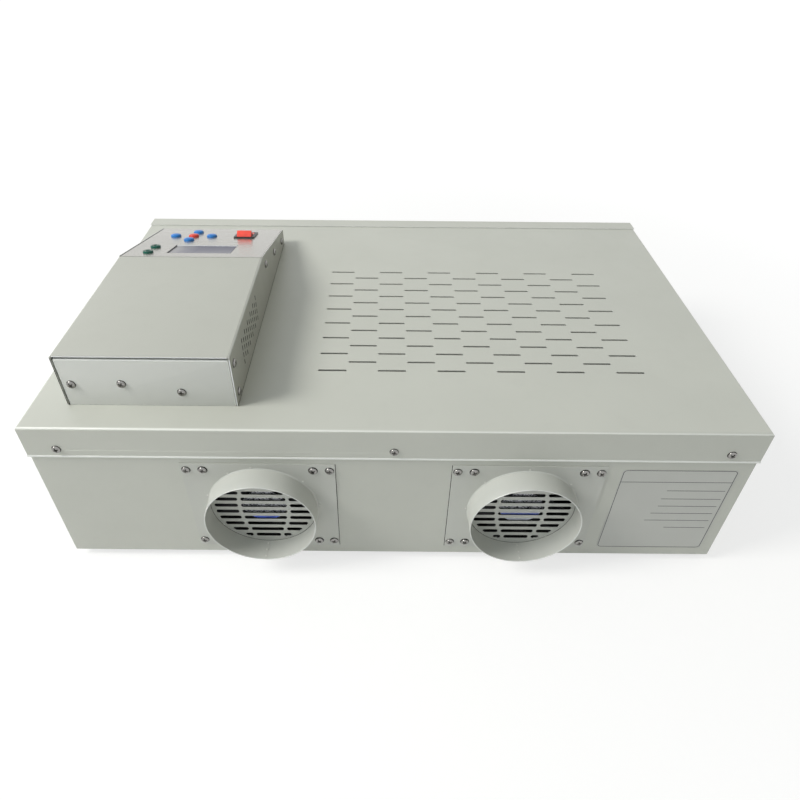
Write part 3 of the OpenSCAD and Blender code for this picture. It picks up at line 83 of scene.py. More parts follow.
def side_wall(x, y, z, s=1):
    """Local X along the part's Y, Y up, Z out of a side."""
    return Matrix(((0, 0, s, x), (s, 0, 0, y), (0, 1, 0, z), (0, 0, 0, 1)))


def along_x(x, y, z):
    """Local Z along the part's X."""
    return Matrix(((0, 0, 1, x), (1, 0, 0, y), (0, 1, 0, z), (0, 0, 0, 1)))


# ---------------------------------------------------------------- camera
camera = bpy.data.objects.new("camera", bpy.data.cameras.new("camera"))
scene.collection.objects.link(camera)
right, fwd = Vector((-0.99996, -0.0056, 0.0068)), Vector((-0.0001, -0.7633, -0.6461)).normalized()
right = (right - fwd*right.dot(fwd)).normalized()
axes = Matrix((right, right.cross(fwd), -fwd)).transposed()
camera.matrix_world = Matrix.Translation(Vector((10.19, 655.2, 568.3))*MM) @ axes.to_4x4()
camera.data.sensor_width = 36
camera.data.lens = 28.365
camera.data.shift_x = 0.02045
camera.data.shift_y = 0.0092
camera.data.clip_end = 60
scene.camera = camera
scene.view_settings.view_transform = "Standard"


# ---------------------------------------------------------------- shader nodes
def feed(nt, socket, value):
    """Links a socket to another one, or sets its value."""
    if hasattr(value, "is_linked"):
        nt.links.new(value, socket)
    else:
        socket.default_value = value


def add(nt, kind, **inputs):
    """A shader node with inputs given by name."""
    n = nt.nodes.new("ShaderNode" + kind)
    for k, v in inputs.items():
        feed(nt, n.inputs[k.replace("_", " ")], v)
    return n


def arith(nt, op, *values):
    n = nt.nodes.new("ShaderNodeMath")
    n.operation = op
    for s, v in zip(n.inputs, values):
        feed(nt, s, v)
    return n.outputs[0]


def mixed(nt, fac, a, b):
    """A colour between a and b."""
    n = nt.nodes.new("ShaderNodeMix")
    n.data_type = "RGBA"
    for i, v in ((0, fac), (6, a), (7, b)):
        feed(nt, n.inputs[i], v)
    return n.outputs[2]


def blended(nt, fac, a, b):
    """A shader between a and b."""
    n = nt.nodes.new("ShaderNodeMixShader")
    for s, v in zip(n.inputs, (fac, a.outputs[0], b.outputs[0])):
        nt.links.new(v, s)
    return n


def ramp(nt, value, a, b, lo, hi, kind="SMOOTHSTEP"):
    """Runs from lo to hi while value goes from a to b."""
    n = add(nt, "MapRange", Value=value, From_Min=a, From_Max=b, To_Min=lo, To_Max=hi)
    n.interpolation_type = kind
    return n.outputs[0]


# ---------------------------------------------------------------- materials
class Look:
    """A Principled material with a chain of procedural layers in object space."""

    def __init__(self, name, color, rough=0.5, metal=0.0, **more):
        self.m = bpy.data.materials.new(name)
        self.m.use_nodes = True
        self.nt = self.m.node_tree
        self.b = self.nt.nodes["Principled BSDF"]
        self.color = color
        for k, v in dict(more, Base_Color=(*color, 1), Roughness=rough, Metallic=metal).items():
            self.b.inputs[k.replace("_", " ")].default_value = v
        self.coord = self.node("TexCoord").outputs["Object"]

    def node(self, kind, **inputs):
        return add(self.nt, kind, **inputs)

    def math(self, op, *values):
        return arith(self.nt, op, *values)

    def axis(self, k):
        """The object coordinate along one axis, in metres."""
        return self.node("SeparateXYZ", Vector=self.coord).outputs[k]

    def normal(self):
        return self.node("SeparateXYZ", Vector=self.node("NewGeometry").outputs["Normal"]).outputs

    def noise(self, scale, detail=2.0, stretch=(1, 1, 1), shift=0.0):
        v = self.coord
        if stretch != (1, 1, 1) or shift:
            v = self.node("Mapping", Vector=v, Scale=stretch, Location=(shift, shift, shift)).outputs[0]
        return self.node("TexNoise", Vector=v, Scale=scale, Detail=detail, Roughness=0.5).outputs["Fac"]

    def span(self, fac, lo, hi, a=0.0, b=1.0):
        return ramp(self.nt, fac, lo, hi, a, b, "LINEAR")

    def bricks(self, scale, amount):
        n = self.node("TexBrick", Vector=self.coord, Scale=scale)
        return self.span(n.outputs["Fac"], 0.4, 0.6, 0.0, amount)

    def tint(self, fac, color):
        """Mixes a colour over what is there by a mask."""
        base = self.b.inputs["Base Color"]
        below = base.links[0].from_socket if base.is_linked else tuple(base.default_value)
        feed(self.nt, base, mixed(self.nt, fac, below, (*color, 1)))
        return self

    def mottle(self, scale, amount, stretch=(1, 1, 1), detail=3.0):
        """Lighter and darker clouds of the base colour."""
        f = self.span(self.noise(scale, detail, stretch), 0.3, 0.7)
        return self.tint(f, tuple(min(1.0, c*(1 + amount)) for c in self.color))

    def grain(self, scale, strength, distance, stretch=(1, 1, 1), detail=2.0):
        """Fine bumps, on top of those that are there."""
        n = self.node("Bump", Height=self.noise(scale, detail, stretch), Strength=strength, Distance=distance)
        old = self.b.inputs["Normal"]
        if old.is_linked:
            feed(self.nt, n.inputs["Normal"], old.links[0].from_socket)
        feed(self.nt, old, n.outputs[0])
        return self

    def sheen(self, scale, lo, hi, stretch=(1, 1, 1)):
        """Roughness that changes over the surface."""
        f = self.noise(scale, 4.0, stretch, shift=3.1)
        feed(self.nt, self.b.inputs["Roughness"], self.span(f, 0.3, 0.7, lo, hi))
        return self

    def specks(self, scale, radius, share, color):
        """Sparse round specks."""
        n = self.node("TexVoronoi", Vector=self.coord, Scale=scale)
        near = self.span(n.outputs["Distance"], radius*0.6, radius, 1.0, 0.0)
        pick = self.node("SeparateColor", Color=n.outputs["Color"]).outputs[0]
        return self.tint(self.math("MULTIPLY", near, self.span(pick, share, share + 0.01, 1.0, 0.0)), color)

    def bends(self, color, amount, lo, hi):
        """A painted highlight on bends and rounded edges: a lighter colour where the normal lies between two
        axes.
        """
        a, b, c = (self.math("ABSOLUTE", o) for o in self.normal())
        top = self.math("MAXIMUM", self.math("MAXIMUM", a, b), c)
        return self.tint(self.span(self.math("SUBTRACT", 1.0, top), lo, hi, 0.0, amount), color)

    def sill_shade(self, x, z, radius, color):
        """Painted shade on the lower sides of the slots, round the two fan axes."""
        u = self.math("SUBTRACT", self.math("ABSOLUTE", self.axis(0)), x)
        v = self.math("SUBTRACT", self.axis(2), z)
        far = self.math("ADD", self.math("MULTIPLY", u, u), self.math("MULTIPLY", v, v))
        near = self.math("LESS_THAN", far, radius*radius)
        return self.tint(self.math("MULTIPLY", near, self.span(self.normal()[2], 0.3, 0.5)), color)


def paint(name, color, spots=False, edge=0.75, bend_glint=(0.80, 0.81, 0.77), lo=0.045, sill_shade=False):
    """Powder coat: spots are dark specks in it, bend_glint is a painted highlight on its bends and rounded
    edges, and sill_shade adds painted shade on the slots' lower sides.
    """
    k = Look(name, color, 0.42, Specular_IOR_Level=0.5)
    k.mottle(9.0, 0.045, detail=4.0)
    k.tint(k.span(k.noise(55.0, 5.0, shift=7.0), 0.55, 0.8, 0.0, 0.35), tuple(c*0.95 for c in color))
    if spots:
        k.specks(26.0, 0.018, 0.07, (0.10, 0.10, 0.09))
    if edge:
        # painted highlight on bends and rounded edges
        k.bends(bend_glint, edge, lo, lo + 0.15)
    if sill_shade:
        # painted shade on the slots' lower sides
        k.sill_shade(FAN_X*MM, FAN_Z*MM, GRILLE_R*MM, (0.03, 0.03, 0.028))
    k.sheen(30.0, 0.34, 0.47)
    k.grain(1500.0, 0.10, 0.0004, detail=3.0)
    return k.grain(160.0, 0.05, 0.0010).m


def metal(name, color, rough, stretch, scale=260.0, tone=0.12, bump=0.08):
    """Bare metal, brushed along the axis that stretch makes small."""
    k = Look(name, color, rough, 1.0)
    k.mottle(scale, -tone, stretch, 4.0)
    k.sheen(scale*0.6, rough*0.8, rough*1.3, stretch)
    k.grain(scale*2.2, bump, 0.0004, stretch)
    return k.mottle(14.0, -0.04).m


def plastic(name, color, rough, grain, strength, **more):
    k = Look(name, color, rough, **more)
    k.mottle(40.0, 0.10)
    k.sheen(60.0, rough*0.85, min(1.0, rough*1.2))
    return k.grain(grain, strength, 0.0003).m


def clouded(name, color, clouds, grain, rough=0.5, metal=0.0, **more):
    """Clouds of the colour (scale, amount), and a grain (scale, strength, depth)."""
    return Look(name, color, rough, metal, **more).mottle(*clouds).grain(*grain).m


EVEN, ROLLED = (1, 1, 1), (0.02, 0.02, 1)
KEY_GLOSS = dict(Coat_Weight=0.15, Coat_Roughness=0.08, Specular_IOR_Level=0.35)
M = {
    "paint": paint("paint_grey", (0.513, 0.522, 0.472), spots=True),
    "plate": paint("paint_plate", (0.500, 0.508, 0.470), sill_shade=True),
    # a darker copy of the grey paint: painted shade on the controller's box
    "box": paint("paint_controller_shaded", (0.445, 0.452, 0.408), spots=True),
    # a lighter copy of the grey paint, near white on its bends: painted light and a painted highlight on the
    # controller's back panel
    "back": paint("paint_panel_lit", (0.640, 0.650, 0.615), edge=1.0, bend_glint=(0.97, 0.98, 0.95), lo=0.01),
    "collar": paint("paint_collar", (0.520, 0.530, 0.495), edge=0.0),
    # a near-white copy of the grey paint: painted highlight on the bead under the skirt
    "bead": paint("paint_bead_highlight", (0.78, 0.79, 0.76), edge=0.0),
    "chrome": metal("screw_nickel", (0.33, 0.325, 0.31), 0.16, EVEN, 420.0, 0.30, 0.03),
    "zinc": metal("zinc_plate", (0.66, 0.67, 0.69), 0.30, (1, 0.05, 1), 320.0, 0.15),
    "stainless": metal("stainless_brushed", (0.60, 0.595, 0.58), 0.30, (0.04, 1, 1), 400.0, 0.14),
    "mirror": metal("reflector_bright", (0.80, 0.80, 0.79), 0.14, (0.03, 1, 1), 300.0, 0.06, 0.04),
    "brass": metal("brass", (0.70, 0.50, 0.20), 0.28, EVEN, 300.0, 0.12),
    # near-black metal: painted shade in the gap beside the controller's back panel and in the crease at the
    # collars' inner foot
    "cut_dark": metal("gap_shade_metal", (0.085, 0.085, 0.075), 0.45, EVEN, 300.0, 0.4),
    "fan_black": plastic("fan_black", (0.010, 0.010, 0.011), 0.48, 900.0, 0.2),
    "black": plastic("moulded_black", (0.014, 0.014, 0.015), 0.38, 2200.0, 0.12),
    "handle": plastic("handle_black", (0.016, 0.016, 0.017), 0.30, 1600.0, 0.10,
                      Coat_Weight=0.3, Coat_Roughness=0.25),
    "rubber": plastic("rubber", (0.018, 0.018, 0.018), 0.75, 1200.0, 0.25),
    "silicone": plastic("silicone_seal", (0.22, 0.065, 0.045), 0.55, 900.0, 0.10, Subsurface_Weight=0.05),
    "label": clouded("label_film", (0.50, 0.505, 0.475), (30.0, 0.03), (900.0, 0.04, 0.0003)),
    "ink": clouded("label_ink", (0.045, 0.045, 0.05), (300.0, 0.5), (900.0, 0.04, 0.0002), 0.55),
    "ceramic": clouded("ceramic_cap", (0.78, 0.76, 0.69), (160.0, -0.08, EVEN, 5.0), (1400.0, 0.25, 0.0003),
                       0.7),
    "glass": clouded("dark_glass", (0.016, 0.014, 0.012), (20.0, 0.4), (60.0, 0.01, 0.0006), 0.07,
                     Coat_Weight=0.6, Coat_Roughness=0.03, IOR=1.5),
    "filament": clouded("filament", (0.30, 0.25, 0.21), (900.0, -0.5), (2400.0, 0.3, 0.0002), 0.45, 0.85),
    "key_blue": clouded("key_blue", (0.010, 0.160, 0.50), (120.0, 0.25), (1600.0, 0.05, 0.0002), 0.30,
                        **KEY_GLOSS),
    "key_red": clouded("key_red", (0.60, 0.040, 0.026), (120.0, 0.2), (1600.0, 0.05, 0.0002), 0.30,
                       **KEY_GLOSS),
    "rocker": clouded("rocker_red", (0.80, 0.075, 0.052), (90.0, 0.2), (1500.0, 0.05, 0.0002), 0.26,
                      Coat_Weight=0.2, Coat_Roughness=0.06, Specular_IOR_Level=0.35),
    "jack": clouded("jack_green", (0.002, 0.062, 0.042), (300.0, 0.8), (900.0, 0.08, 0.0003), 0.24,
                    Specular_IOR_Level=0.35),
    "hub_blue": clouded("hub_blue", (0.10, 0.16, 0.62), (300.0, 0.5), (400.0, 0.05, 0.0003), 0.35),
    "hub_white": clouded("hub_white", (0.70, 0.72, 0.80), (300.0, -0.2), (400.0, 0.05, 0.0003), 0.35),
    # near white: painted highlights on the display opening's sill and on the edges round the controller's
    # back
    "gloss_white": clouded("highlight_edge_white", (0.82, 0.83, 0.84), (60.0, -0.05), (900.0, 0.05, 0.0002), 0.25),
    # black: sheets of painted shade in gaps, behind the vents and beside the sloping panel
    "shade_sheet": clouded("shade_sheet_black", (0.012, 0.012, 0.011), (300.0, 0.6), (1200.0, 0.4, 0.0004), 0.9),
    # light paint of the spot welds, also on the light dots that are painted highlights on the probe sockets
    "weld": clouded("weld_paint_and_glint", (0.66, 0.66, 0.62), (300.0, -0.1), (900.0, 0.2, 0.0003), 0.35),
    # black: painted shadow lines under the screw heads, painted shade on three sides of the display opening
    # and in the gaps beside the grille plates
    "frit": clouded("frit", (0.010, 0.010, 0.010), (200.0, 0.5), (1200.0, 0.05, 0.0002), 0.25),
    # dark: painted shade in the screw recesses
    "screw_dark": clouded("screw_recess_shade", (0.10, 0.095, 0.085), (600.0, 0.4), (1500.0, 0.1, 0.0002),
                          0.35, 0.8),
    # light metal: bare steel on the collars' cut rims, lightened as a painted highlight, and the colour of
    # the painted highlight strips along edges
    "rim": clouded("cut_rim_and_glint", (0.62, 0.63, 0.61), (120.0, 0.15), (900.0, 0.15, 0.0003), 0.34, 0.25),
    "core": clouded("steel_core", (0.16, 0.16, 0.165), (700.0, -0.4, ROLLED),
                    (900.0, 0.3, 0.0003, ROLLED), 0.55, 0.5),
    "winding": clouded("winding_tape", (0.62, 0.50, 0.10), (200.0, 0.2),
                       (500.0, 0.2, 0.0003, (1, 1, 0.1)), 0.4),
    "relay": clouded("relay_case", (0.03, 0.08, 0.28), (150.0, 0.2), (1200.0, 0.1, 0.0002), 0.35),
    "can": clouded("capacitor_sleeve", (0.02, 0.025, 0.05), (150.0, 0.5), (900.0, 0.05, 0.0002), 0.3,
                   Coat_Weight=0.3),
}

k = Look("panel_satin", (0.515, 0.505, 0.468), 0.23, 0.80)
k.mottle(420.0, -0.06, (0.04, 1, 1)).mottle(10.0, 0.04)
M["panel"] = k.sheen(90.0, 0.18, 0.28, (0.2, 1, 1)).grain(900.0, 0.04, 0.0003, (0.05, 1, 1)).m

k = Look("ceramic_board", (0.34, 0.33, 0.30), 0.95)
k.mottle(60.0, -0.12, detail=6.0).grain(700.0, 0.5, 0.0008, detail=6.0)
M["board"] = k.grain(2600.0, 0.4, 0.0004, (1, 0.15, 1), 4.0).m

k = Look("quartz", (0.95, 0.97, 0.98), 0.06, Transmission_Weight=1.0, IOR=1.45)
M["quartz"] = k.grain(90.0, 0.03, 0.0006, (0.1, 1, 1)).sheen(120.0, 0.03, 0.10, (0.1, 1, 1)).m

k = Look("circuit_board", (0.015, 0.12, 0.045), 0.35, Coat_Weight=0.3)
k.tint(k.bricks(240.0, 0.5), (0.03, 0.20, 0.08)).specks(300.0, 0.25, 0.30, (0.62, 0.56, 0.38))
M["pcb"] = k.grain(600.0, 0.2, 0.0003).m

k = Look("display_glass", (0.095, 0.095, 0.140), 0.30, Specular_IOR_Level=0.22)
# painted reflection: the glass is lighter towards its +X end and towards the top of the slope
k.tint(k.span(k.axis(0), 0.229, 0.252, 0.0, 0.9), (0.62, 0.60, 0.57))
k.tint(k.span(k.axis(1), -0.025, -0.006, 0.0, 0.35), (0.50, 0.50, 0.52))
M["display"] = k.mottle(18.0, 0.12).grain(1400.0, 0.02, 0.0002).m

k = Look("hub_label", (0.58, 0.58, 0.62), 0.30, 0.45)
k.tint(k.span(k.noise(1100.0, 3.0, (0.45, 1, 0.8)), 0.50, 0.56), (0.035, 0.035, 0.045))
M["hub_label"] = k.grain(400.0, 0.1, 0.0003).m


# ---------------------------------------------------------------- mesh helpers, in millimetres
def soften(o, width, segments=2):
    """Rounds the sharp edges of an object by width, in millimetres."""
    b = o.modifiers.new("round", "BEVEL")
    b.width = width*MM
    b.segments = segments
    b.limit_method = "ANGLE"
    b.angle_limit = math.radians(32.0)
    b.harden_normals = True
    b.loop_slide = False
    b.use_clamp_overlap = True


def dress(names, mat, bevel=0.0):
    """Gives CAD nodes a material, and rounds their sharp edges a little."""
    for n in names.split():
        o = nodes[n]
        o.data.materials.clear()
        o.data.materials.append(M[mat])
        if bevel:
            w = o.modifiers.new("weld", "WELD")
            w.merge_threshold = 2e-6
            d = o.modifiers.new("planes", "DECIMATE")
            d.decimate_type = "DISSOLVE"
            d.angle_limit = math.radians(0.5)
            soften(o, bevel)


def linked(name, me):
    o = bpy.data.objects.new(name, me)
    scene.collection.objects.link(o)
    return o


def mesh(name, bm):
    """A mesh from a bmesh, which is freed."""
    me = bpy.data.meshes.new(name)
    bm.to_mesh(me)
    bm.free()
    return me


def emit(name, bm, mats, body="root", replaces=(), smooth=30.0, bevel=0.0, segments=2):
    """Turns a bmesh into a piece of the model that rides on a body."""
    bmesh.ops.remove_doubles(bm, verts=bm.verts, dist=1e-4)
    bmesh.ops.recalc_face_normals(bm, faces=bm.faces)
    bmesh.ops.transform(bm, matrix=Matrix.Scale(MM, 4), verts=bm.verts)
    me = mesh(name, bm)
    for m in mats.split():
        me.materials.append(M[m])
    me.shade_smooth()
    me.set_sharp_from_angle(angle=math.radians(smooth))
    o = linked(name, me)
    if bevel:
        soften(o, bevel, segments)
    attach(o, body)
    if replaces:
        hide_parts(*replaces)


def strip(bm, a, b, mat=0):
    """The band of faces between two closed loops."""
    n = len(a)
    for i in range(n):
        j = (i + 1) % n
        bm.faces.new((a[i], a[j], b[j], b[i])).material_index = mat


def skin(bm, loops, mat=0):
    """A closed skin over loops, with a face on the first and the last."""
    bm.faces.new(list(reversed(loops[0]))).material_index = mat
    bm.faces.new(loops[-1]).material_index = mat
    for a, b in zip(loops, loops[1:]):
        strip(bm, a, b, mat)


def lathe(bm, profile, frame4, seg=48, mat=0):
    """Turns a profile of (radius, height) about the Z of a frame. A first or last radius of 0 closes it."""
    rings = []
    for r, h in profile:
        turns = [2*math.pi*i/seg for i in range(seg)] if r > 1e-6 else [0.0]
        rings.append([bm.verts.new(frame4 @ Vector((r*math.cos(a), r*math.sin(a), h))) for a in turns])
    for a, b in zip(rings, rings[1:]):
        if len(a) == len(b) == 1:
            continue
        for i in range(seg):
            j = (i + 1) % seg
            corners = [a[i], a[j]] if len(a) > 1 else [a[0]]
            corners += [b[j], b[i]] if len(b) > 1 else [b[0]]
            bm.faces.new(corners).material_index = mat


def ring(bm, profile, frame4, seg=48, mat=0):
    """A turned ring: the profile closes on itself."""
    lathe(bm, list(profile) + [profile[0]], frame4, seg, mat)


def block(bm, lo, hi, frame4=Matrix.Identity(4), mat=0):
    """A box between two corners, inside larger pieces."""
    v = [bm.verts.new(frame4 @ Vector((x, y, z)))
         for x in (lo[0], hi[0]) for y in (lo[1], hi[1]) for z in (lo[2], hi[2])]
    for q in ((0, 1, 3, 2), (4, 6, 7, 5), (0, 4, 5, 1), (2, 3, 7, 6), (0, 2, 6, 4), (1, 5, 7, 3)):
        bm.faces.new([v[i] for i in q]).material_index = mat


def round_rect(w, h, r, n=6):
    """Outline of a rectangle with round corners."""
    pts = []
    for k, (sx, sy) in enumerate(((1, 1), (-1, 1), (-1, -1), (1, -1))):
        for i in range(n + 1):
            a = math.radians(90*k + 90*i/n)
            pts.append((sx*(w/2 - r) + r*math.cos(a), sy*(h/2 - r) + r*math.sin(a)))
    return pts


def hexagon(r, start=0.0):
    return [(r*math.cos(start + math.pi/3*j), r*math.sin(start + math.pi/3*j)) for j in range(6)]


def slab(bm, outline, z0, z1, frame4, inner=None, mat=0, inset=0.0):
    """A plate of an outline (x, y) from z0 to z1, with an inner outline of as many points cut out."""
    def loop(pts, z, shrink=0.0):
        mid = Vector((sum(p[0] for p in pts), sum(p[1] for p in pts)))/len(pts)
        out = [Vector(p) - (Vector(p) - mid).normalized()*shrink for p in pts]
        return [bm.verts.new(frame4 @ Vector((q.x, q.y, z))) for q in out]
    levels = [(z0, 0.0), (z1 - inset, 0.0), (z1, inset)] if inset else [(z0, 0.0), (z1, 0.0)]
    outer = [loop(outline, z, shrink) for z, shrink in levels]
    if not inner:
        return skin(bm, outer, mat)
    low, high = loop(inner, z0), loop(inner, z1)
    for a, b in list(zip(outer, outer[1:])) + [(high, low), (low, outer[0]), (outer[-1], high)]:
        strip(bm, a, b, mat)


def sweep(bm, points, radius, seg=8):
    """A round wire along points."""
    pts = [Vector(p) for p in points]
    normal = (pts[1] - pts[0]).normalized().orthogonal().normalized()
    rings = []
    for i, p in enumerate(pts):
        t = (pts[min(i + 1, len(pts) - 1)] - pts[max(i - 1, 0)]).normalized()
        normal = (normal - t*normal.dot(t)).normalized()
        side = t.cross(normal)
        turns = [2*math.pi*j/seg for j in range(seg)]
        rings.append([bm.verts.new(p + radius*(math.cos(a)*normal + math.sin(a)*side)) for a in turns])
    skin(bm, rings)


def carve(bm, tool, operation="DIFFERENCE"):
    """The bmesh with another taken out of it, or joined to it."""
    for b in (bm, tool):
        bmesh.ops.recalc_face_normals(b, faces=b.faces)
    a, b = linked("work", mesh("work", bm)), linked("work", mesh("work", tool))
    m = a.modifiers.new("cut", "BOOLEAN")
    m.object, m.solver, m.operation = b, "EXACT", operation
    me = bpy.data.meshes.new_from_object(a.evaluated_get(bpy.context.evaluated_depsgraph_get()))
    out = bmesh.new()
    out.from_mesh(me)
    for o in (a, b):
        bpy.data.objects.remove(o)
    bpy.data.meshes.remove(me)
    return out


def proto(bm):
    """A mesh to stamp from a bmesh, which is freed."""
    bmesh.ops.recalc_face_normals(bm, faces=bm.faces)
    return mesh("proto", bm)


def stamp(bm, copied, frame4):
    """Adds a copy of a prototype mesh at a frame."""
    n = len(bm.verts)
    bm.from_mesh(copied)
    bm.verts.ensure_lookup_table()
    bmesh.ops.transform(bm, matrix=frame4, verts=bm.verts[n:])


# ---------------------------------------------------------------- CAD nodes that stay
for names, mat, bevel in (
        ("base_tray front_frame top_cover drawer_front", "paint", 0.30),
        ("ctrl_cover ctrl_base", "box", 0.25),
        ("duct_plate_left duct_plate_right", "plate", 0.22),
        ("ctrl_panel", "panel", 0.20),
        ("rating_plate", "label", 0.10),
        ("key_switches", "black", 0.3),
        ("fan_frame_left fan_frame_right fan_wheel_left fan_wheel_right display_module", "fan_black", 0.3),
        ("chamber chamber_back drawer_pan drawer_liner tube_brackets window_spacer", "stainless", 0.25),
        ("board_rack thermocouples", "stainless", 0.0),
        ("reflector", "mirror", 0.15),
        ("insulation", "board", 1.0),
        ("rail_outer_left rail_outer_right rail_middle_left rail_middle_right", "zinc", 0.25),
        ("rail_inner_left rail_inner_right", "zinc", 0.25),
        ("window_panes", "glass", 0.4),
        ("drawer_seal", "silicone", 0.5),
        ("cable_bush", "rubber", 0.5),
        ("ctrl_board", "pcb", 0.1),
        ("board_posts", "brass", 0.2)):
    dress(names, mat, bevel)


# ---------------------------------------------------------------- screws
# the screws' heads, their recesses in painted shade, and a painted shadow line under the rims
SCREW = "chrome screw_dark frit"
HEAD, HEAD_H = 8, 2.2
SKIRT_Z = SKIRT_LOW + 8


def phillips(head, h, d, reach, ring_r=0.0):
    """Pan-head screw on z = 0: slot 0 is the head, 1 the recess, in painted shade, 2 a painted shadow line
    under its rim.
    """
    here = Matrix.Identity(4)
    rim, crown, full = 0.30*h, 0.70*h, 0.75      # the dome's foot, its rise and how full it is
    turns = [math.pi/2*i/8 for i in range(8)]
    dome = [(head/2*math.cos(t)**full, rim + crown*math.sin(t)) for t in turns] + [(0, h)]
    shank = [(0, -reach), (d/2 - 0.4, -reach), (d/2, -reach + 0.5), (d/2, -0.02)]
    bm = bmesh.new()
    lathe(bm, shank + [(head/2 - 0.25, 0.0), (head/2, 0.22*h)] + dome, here, 40)
    tool, levels = bmesh.new(), []
    for a, b, z in ((0.17*head, 0.055*head, 0.24*h), (0.36*head, 0.095*head, h + 0.3)):
        cross = [(b, b), (b, a), (-b, a), (-b, b), (-a, b), (-a, -b), (-b, -b), (-b, -a), (b, -a), (b, -b),
                 (a, -b), (a, b)]
        levels.append([tool.verts.new((x, y, z)) for x, y in cross])
    skin(tool, levels)
    out = carve(bm, tool)
    # the recess faces get the darker slot: painted shade
    for f in out.faces:
        c = f.calc_center_median()
        r = math.hypot(c.x, c.y)
        dome_z = rim + crown*math.sin(math.acos(min(1.0, (2*r/head)**(1/full))))
        if r < 0.39*head and 0.05 < c.z < dome_z - 0.06*h:
            f.material_index = 1
    # a black ring under the rim: painted shadow
    if ring_r:
        foot = head/2 - 0.4
        ring(out, [(foot, 0.0), (ring_r, 0.0), (ring_r - 0.15, 0.12), (foot, 0.12)], here, 40, 2)
    return proto(out)


def screws(name, node, spots):
    """One piece for a group of screws: spots of (prototype, frame), each turned by chance."""
    bm = bmesh.new()
    rnd = random.Random(node)
    for p, f in spots:
        stamp(bm, p, f @ Matrix.Rotation(rnd.uniform(0, math.pi/2), 4, "Z"))
    emit(name, bm, SCREW, replaces=[node], smooth=34)


body_screw, inlet_screw = phillips(HEAD, HEAD_H, 4, 8, 4.35), phillips(6, 1.4, 3, 7)
spots = [(body_screw, back_wall(x, BACK, SKIRT_Z)) for x in (-311.9, 0, 311.9)]
spots += [(body_screw, side_wall(s*BODY_W/2, y, SKIRT_Z, s)) for s in (-1, 1) for y in (-139.25, 167.75)]
spots += [(inlet_screw, side_wall(342, INLET_Y + d, INLET_Z)) for d in (-20, 20)]
screws("cover_screw_set", "body_screws", spots)

fan_screw, plate_screw = phillips(HEAD, HEAD_H, 4, 10.2, 4.75), phillips(HEAD, HEAD_H, 4, 7.2, 4.45)
spots = []
for side in (-1, 1):
    for dz in (-FAN_HOLES, FAN_HOLES):
        for screw, reach in ((fan_screw, FAN_HOLES), (plate_screw, PLATE_HOLES)):
            spots += [(screw, back_wall(side*FAN_X + dx, PLATE_Y, FAN_Z + dz)) for dx in (-reach, reach)]
screws("duct_screw_set", "plate_screws", spots)

ctrl_screw = phillips(HEAD, HEAD_H, 3, 5, 4.35)
spots = []
for s in (-1, 1):
    for d, h in ((11, 42.2), (11, 9.7), (320.5, 12.63), (261.6, 26.79), (202.7, 40.95)):
        spots.append((ctrl_screw, side_wall(CTRL_X + s*CTRL_W/2, CTRL_BACK - d, TOP + h, s)))
for d, h in ((0, 24.3), (46, 25.3), (99.2, 16.1)):
    spots.append((ctrl_screw, back_wall(CTRL_X + CTRL_W/2 - 10.3 - d, CTRL_BACK - 0.5, TOP + h)))
screws("controller_screw_set", "ctrl_screws", spots)


# ---------------------------------------------------------------- feet
foot_places = [(x, y) for x in (-281.5, 281.5) for y in (-164.25, 192.75)]
down = Matrix.Rotation(math.pi, 4, "X")
foot_screw = phillips(HEAD, HEAD_H, 4, 11.7)
bm = bmesh.new()
for i, (x, y) in enumerate(foot_places):
    stamp(bm, foot_screw, at(x, y, 5.5) @ down @ Matrix.Rotation(0.4*i, 4, "Z"))
    slab(bm, hexagon(4, math.pi/6*i), 11.2, 14.4, at(x, y, 0), inner=hexagon(2, math.pi/6*i))
emit("foot_screw_set", bm, SCREW, replaces=["foot_screws"], smooth=34)

wall = [(12.1, 0), (12.5, 0.4)]
for i in range(5):
    z = 1.4 + 1.7*i
    r = 12.5 + 0.25*z
    wall += [(r - 0.25, z), (r - 0.25, z + 0.5), (r + 0.35, z + 0.6)]
wall = wall[:-1] + [(14.9, 9.2), (14.9, 9.7), (14.5, 10), (2.1, 10), (2.1, 5.5), (5.5, 5.5), (5.5, 0.5),
                    (6.0, 0)]
bm = bmesh.new()
for x, y in foot_places:
    ring(bm, wall, at(x, y, 0))
emit("rubber_feet", bm, "rubber", replaces=["feet"])


# ---------------------------------------------------------------- ducts
SEAM_DOT = [(1.0, -0.1), (0.9, 0.25), (0.5, 0.42), (0, 0.48)]
OUTER_DOT = [(0.95, -0.05), (0.85, 0.3), (0.5, 0.55), (0, 0.65)]
INNER_DOT = [(0.8, -0.05), (0.7, 0.25), (0.4, 0.42), (0, 0.5)]
COLLAR = [(53.3, 0.0), (54.3, 0.0), (54.3, 6.0), (54.3, 15.0), (54.3, 23.65), (54.15, 24.0), (53.5, 24.0),
          (53.3, 23.75), (53.3, 15.0), (53.3, 6.0)]
COLLAR_SEG, CUT_RIM = 120, (4, 5, 6)


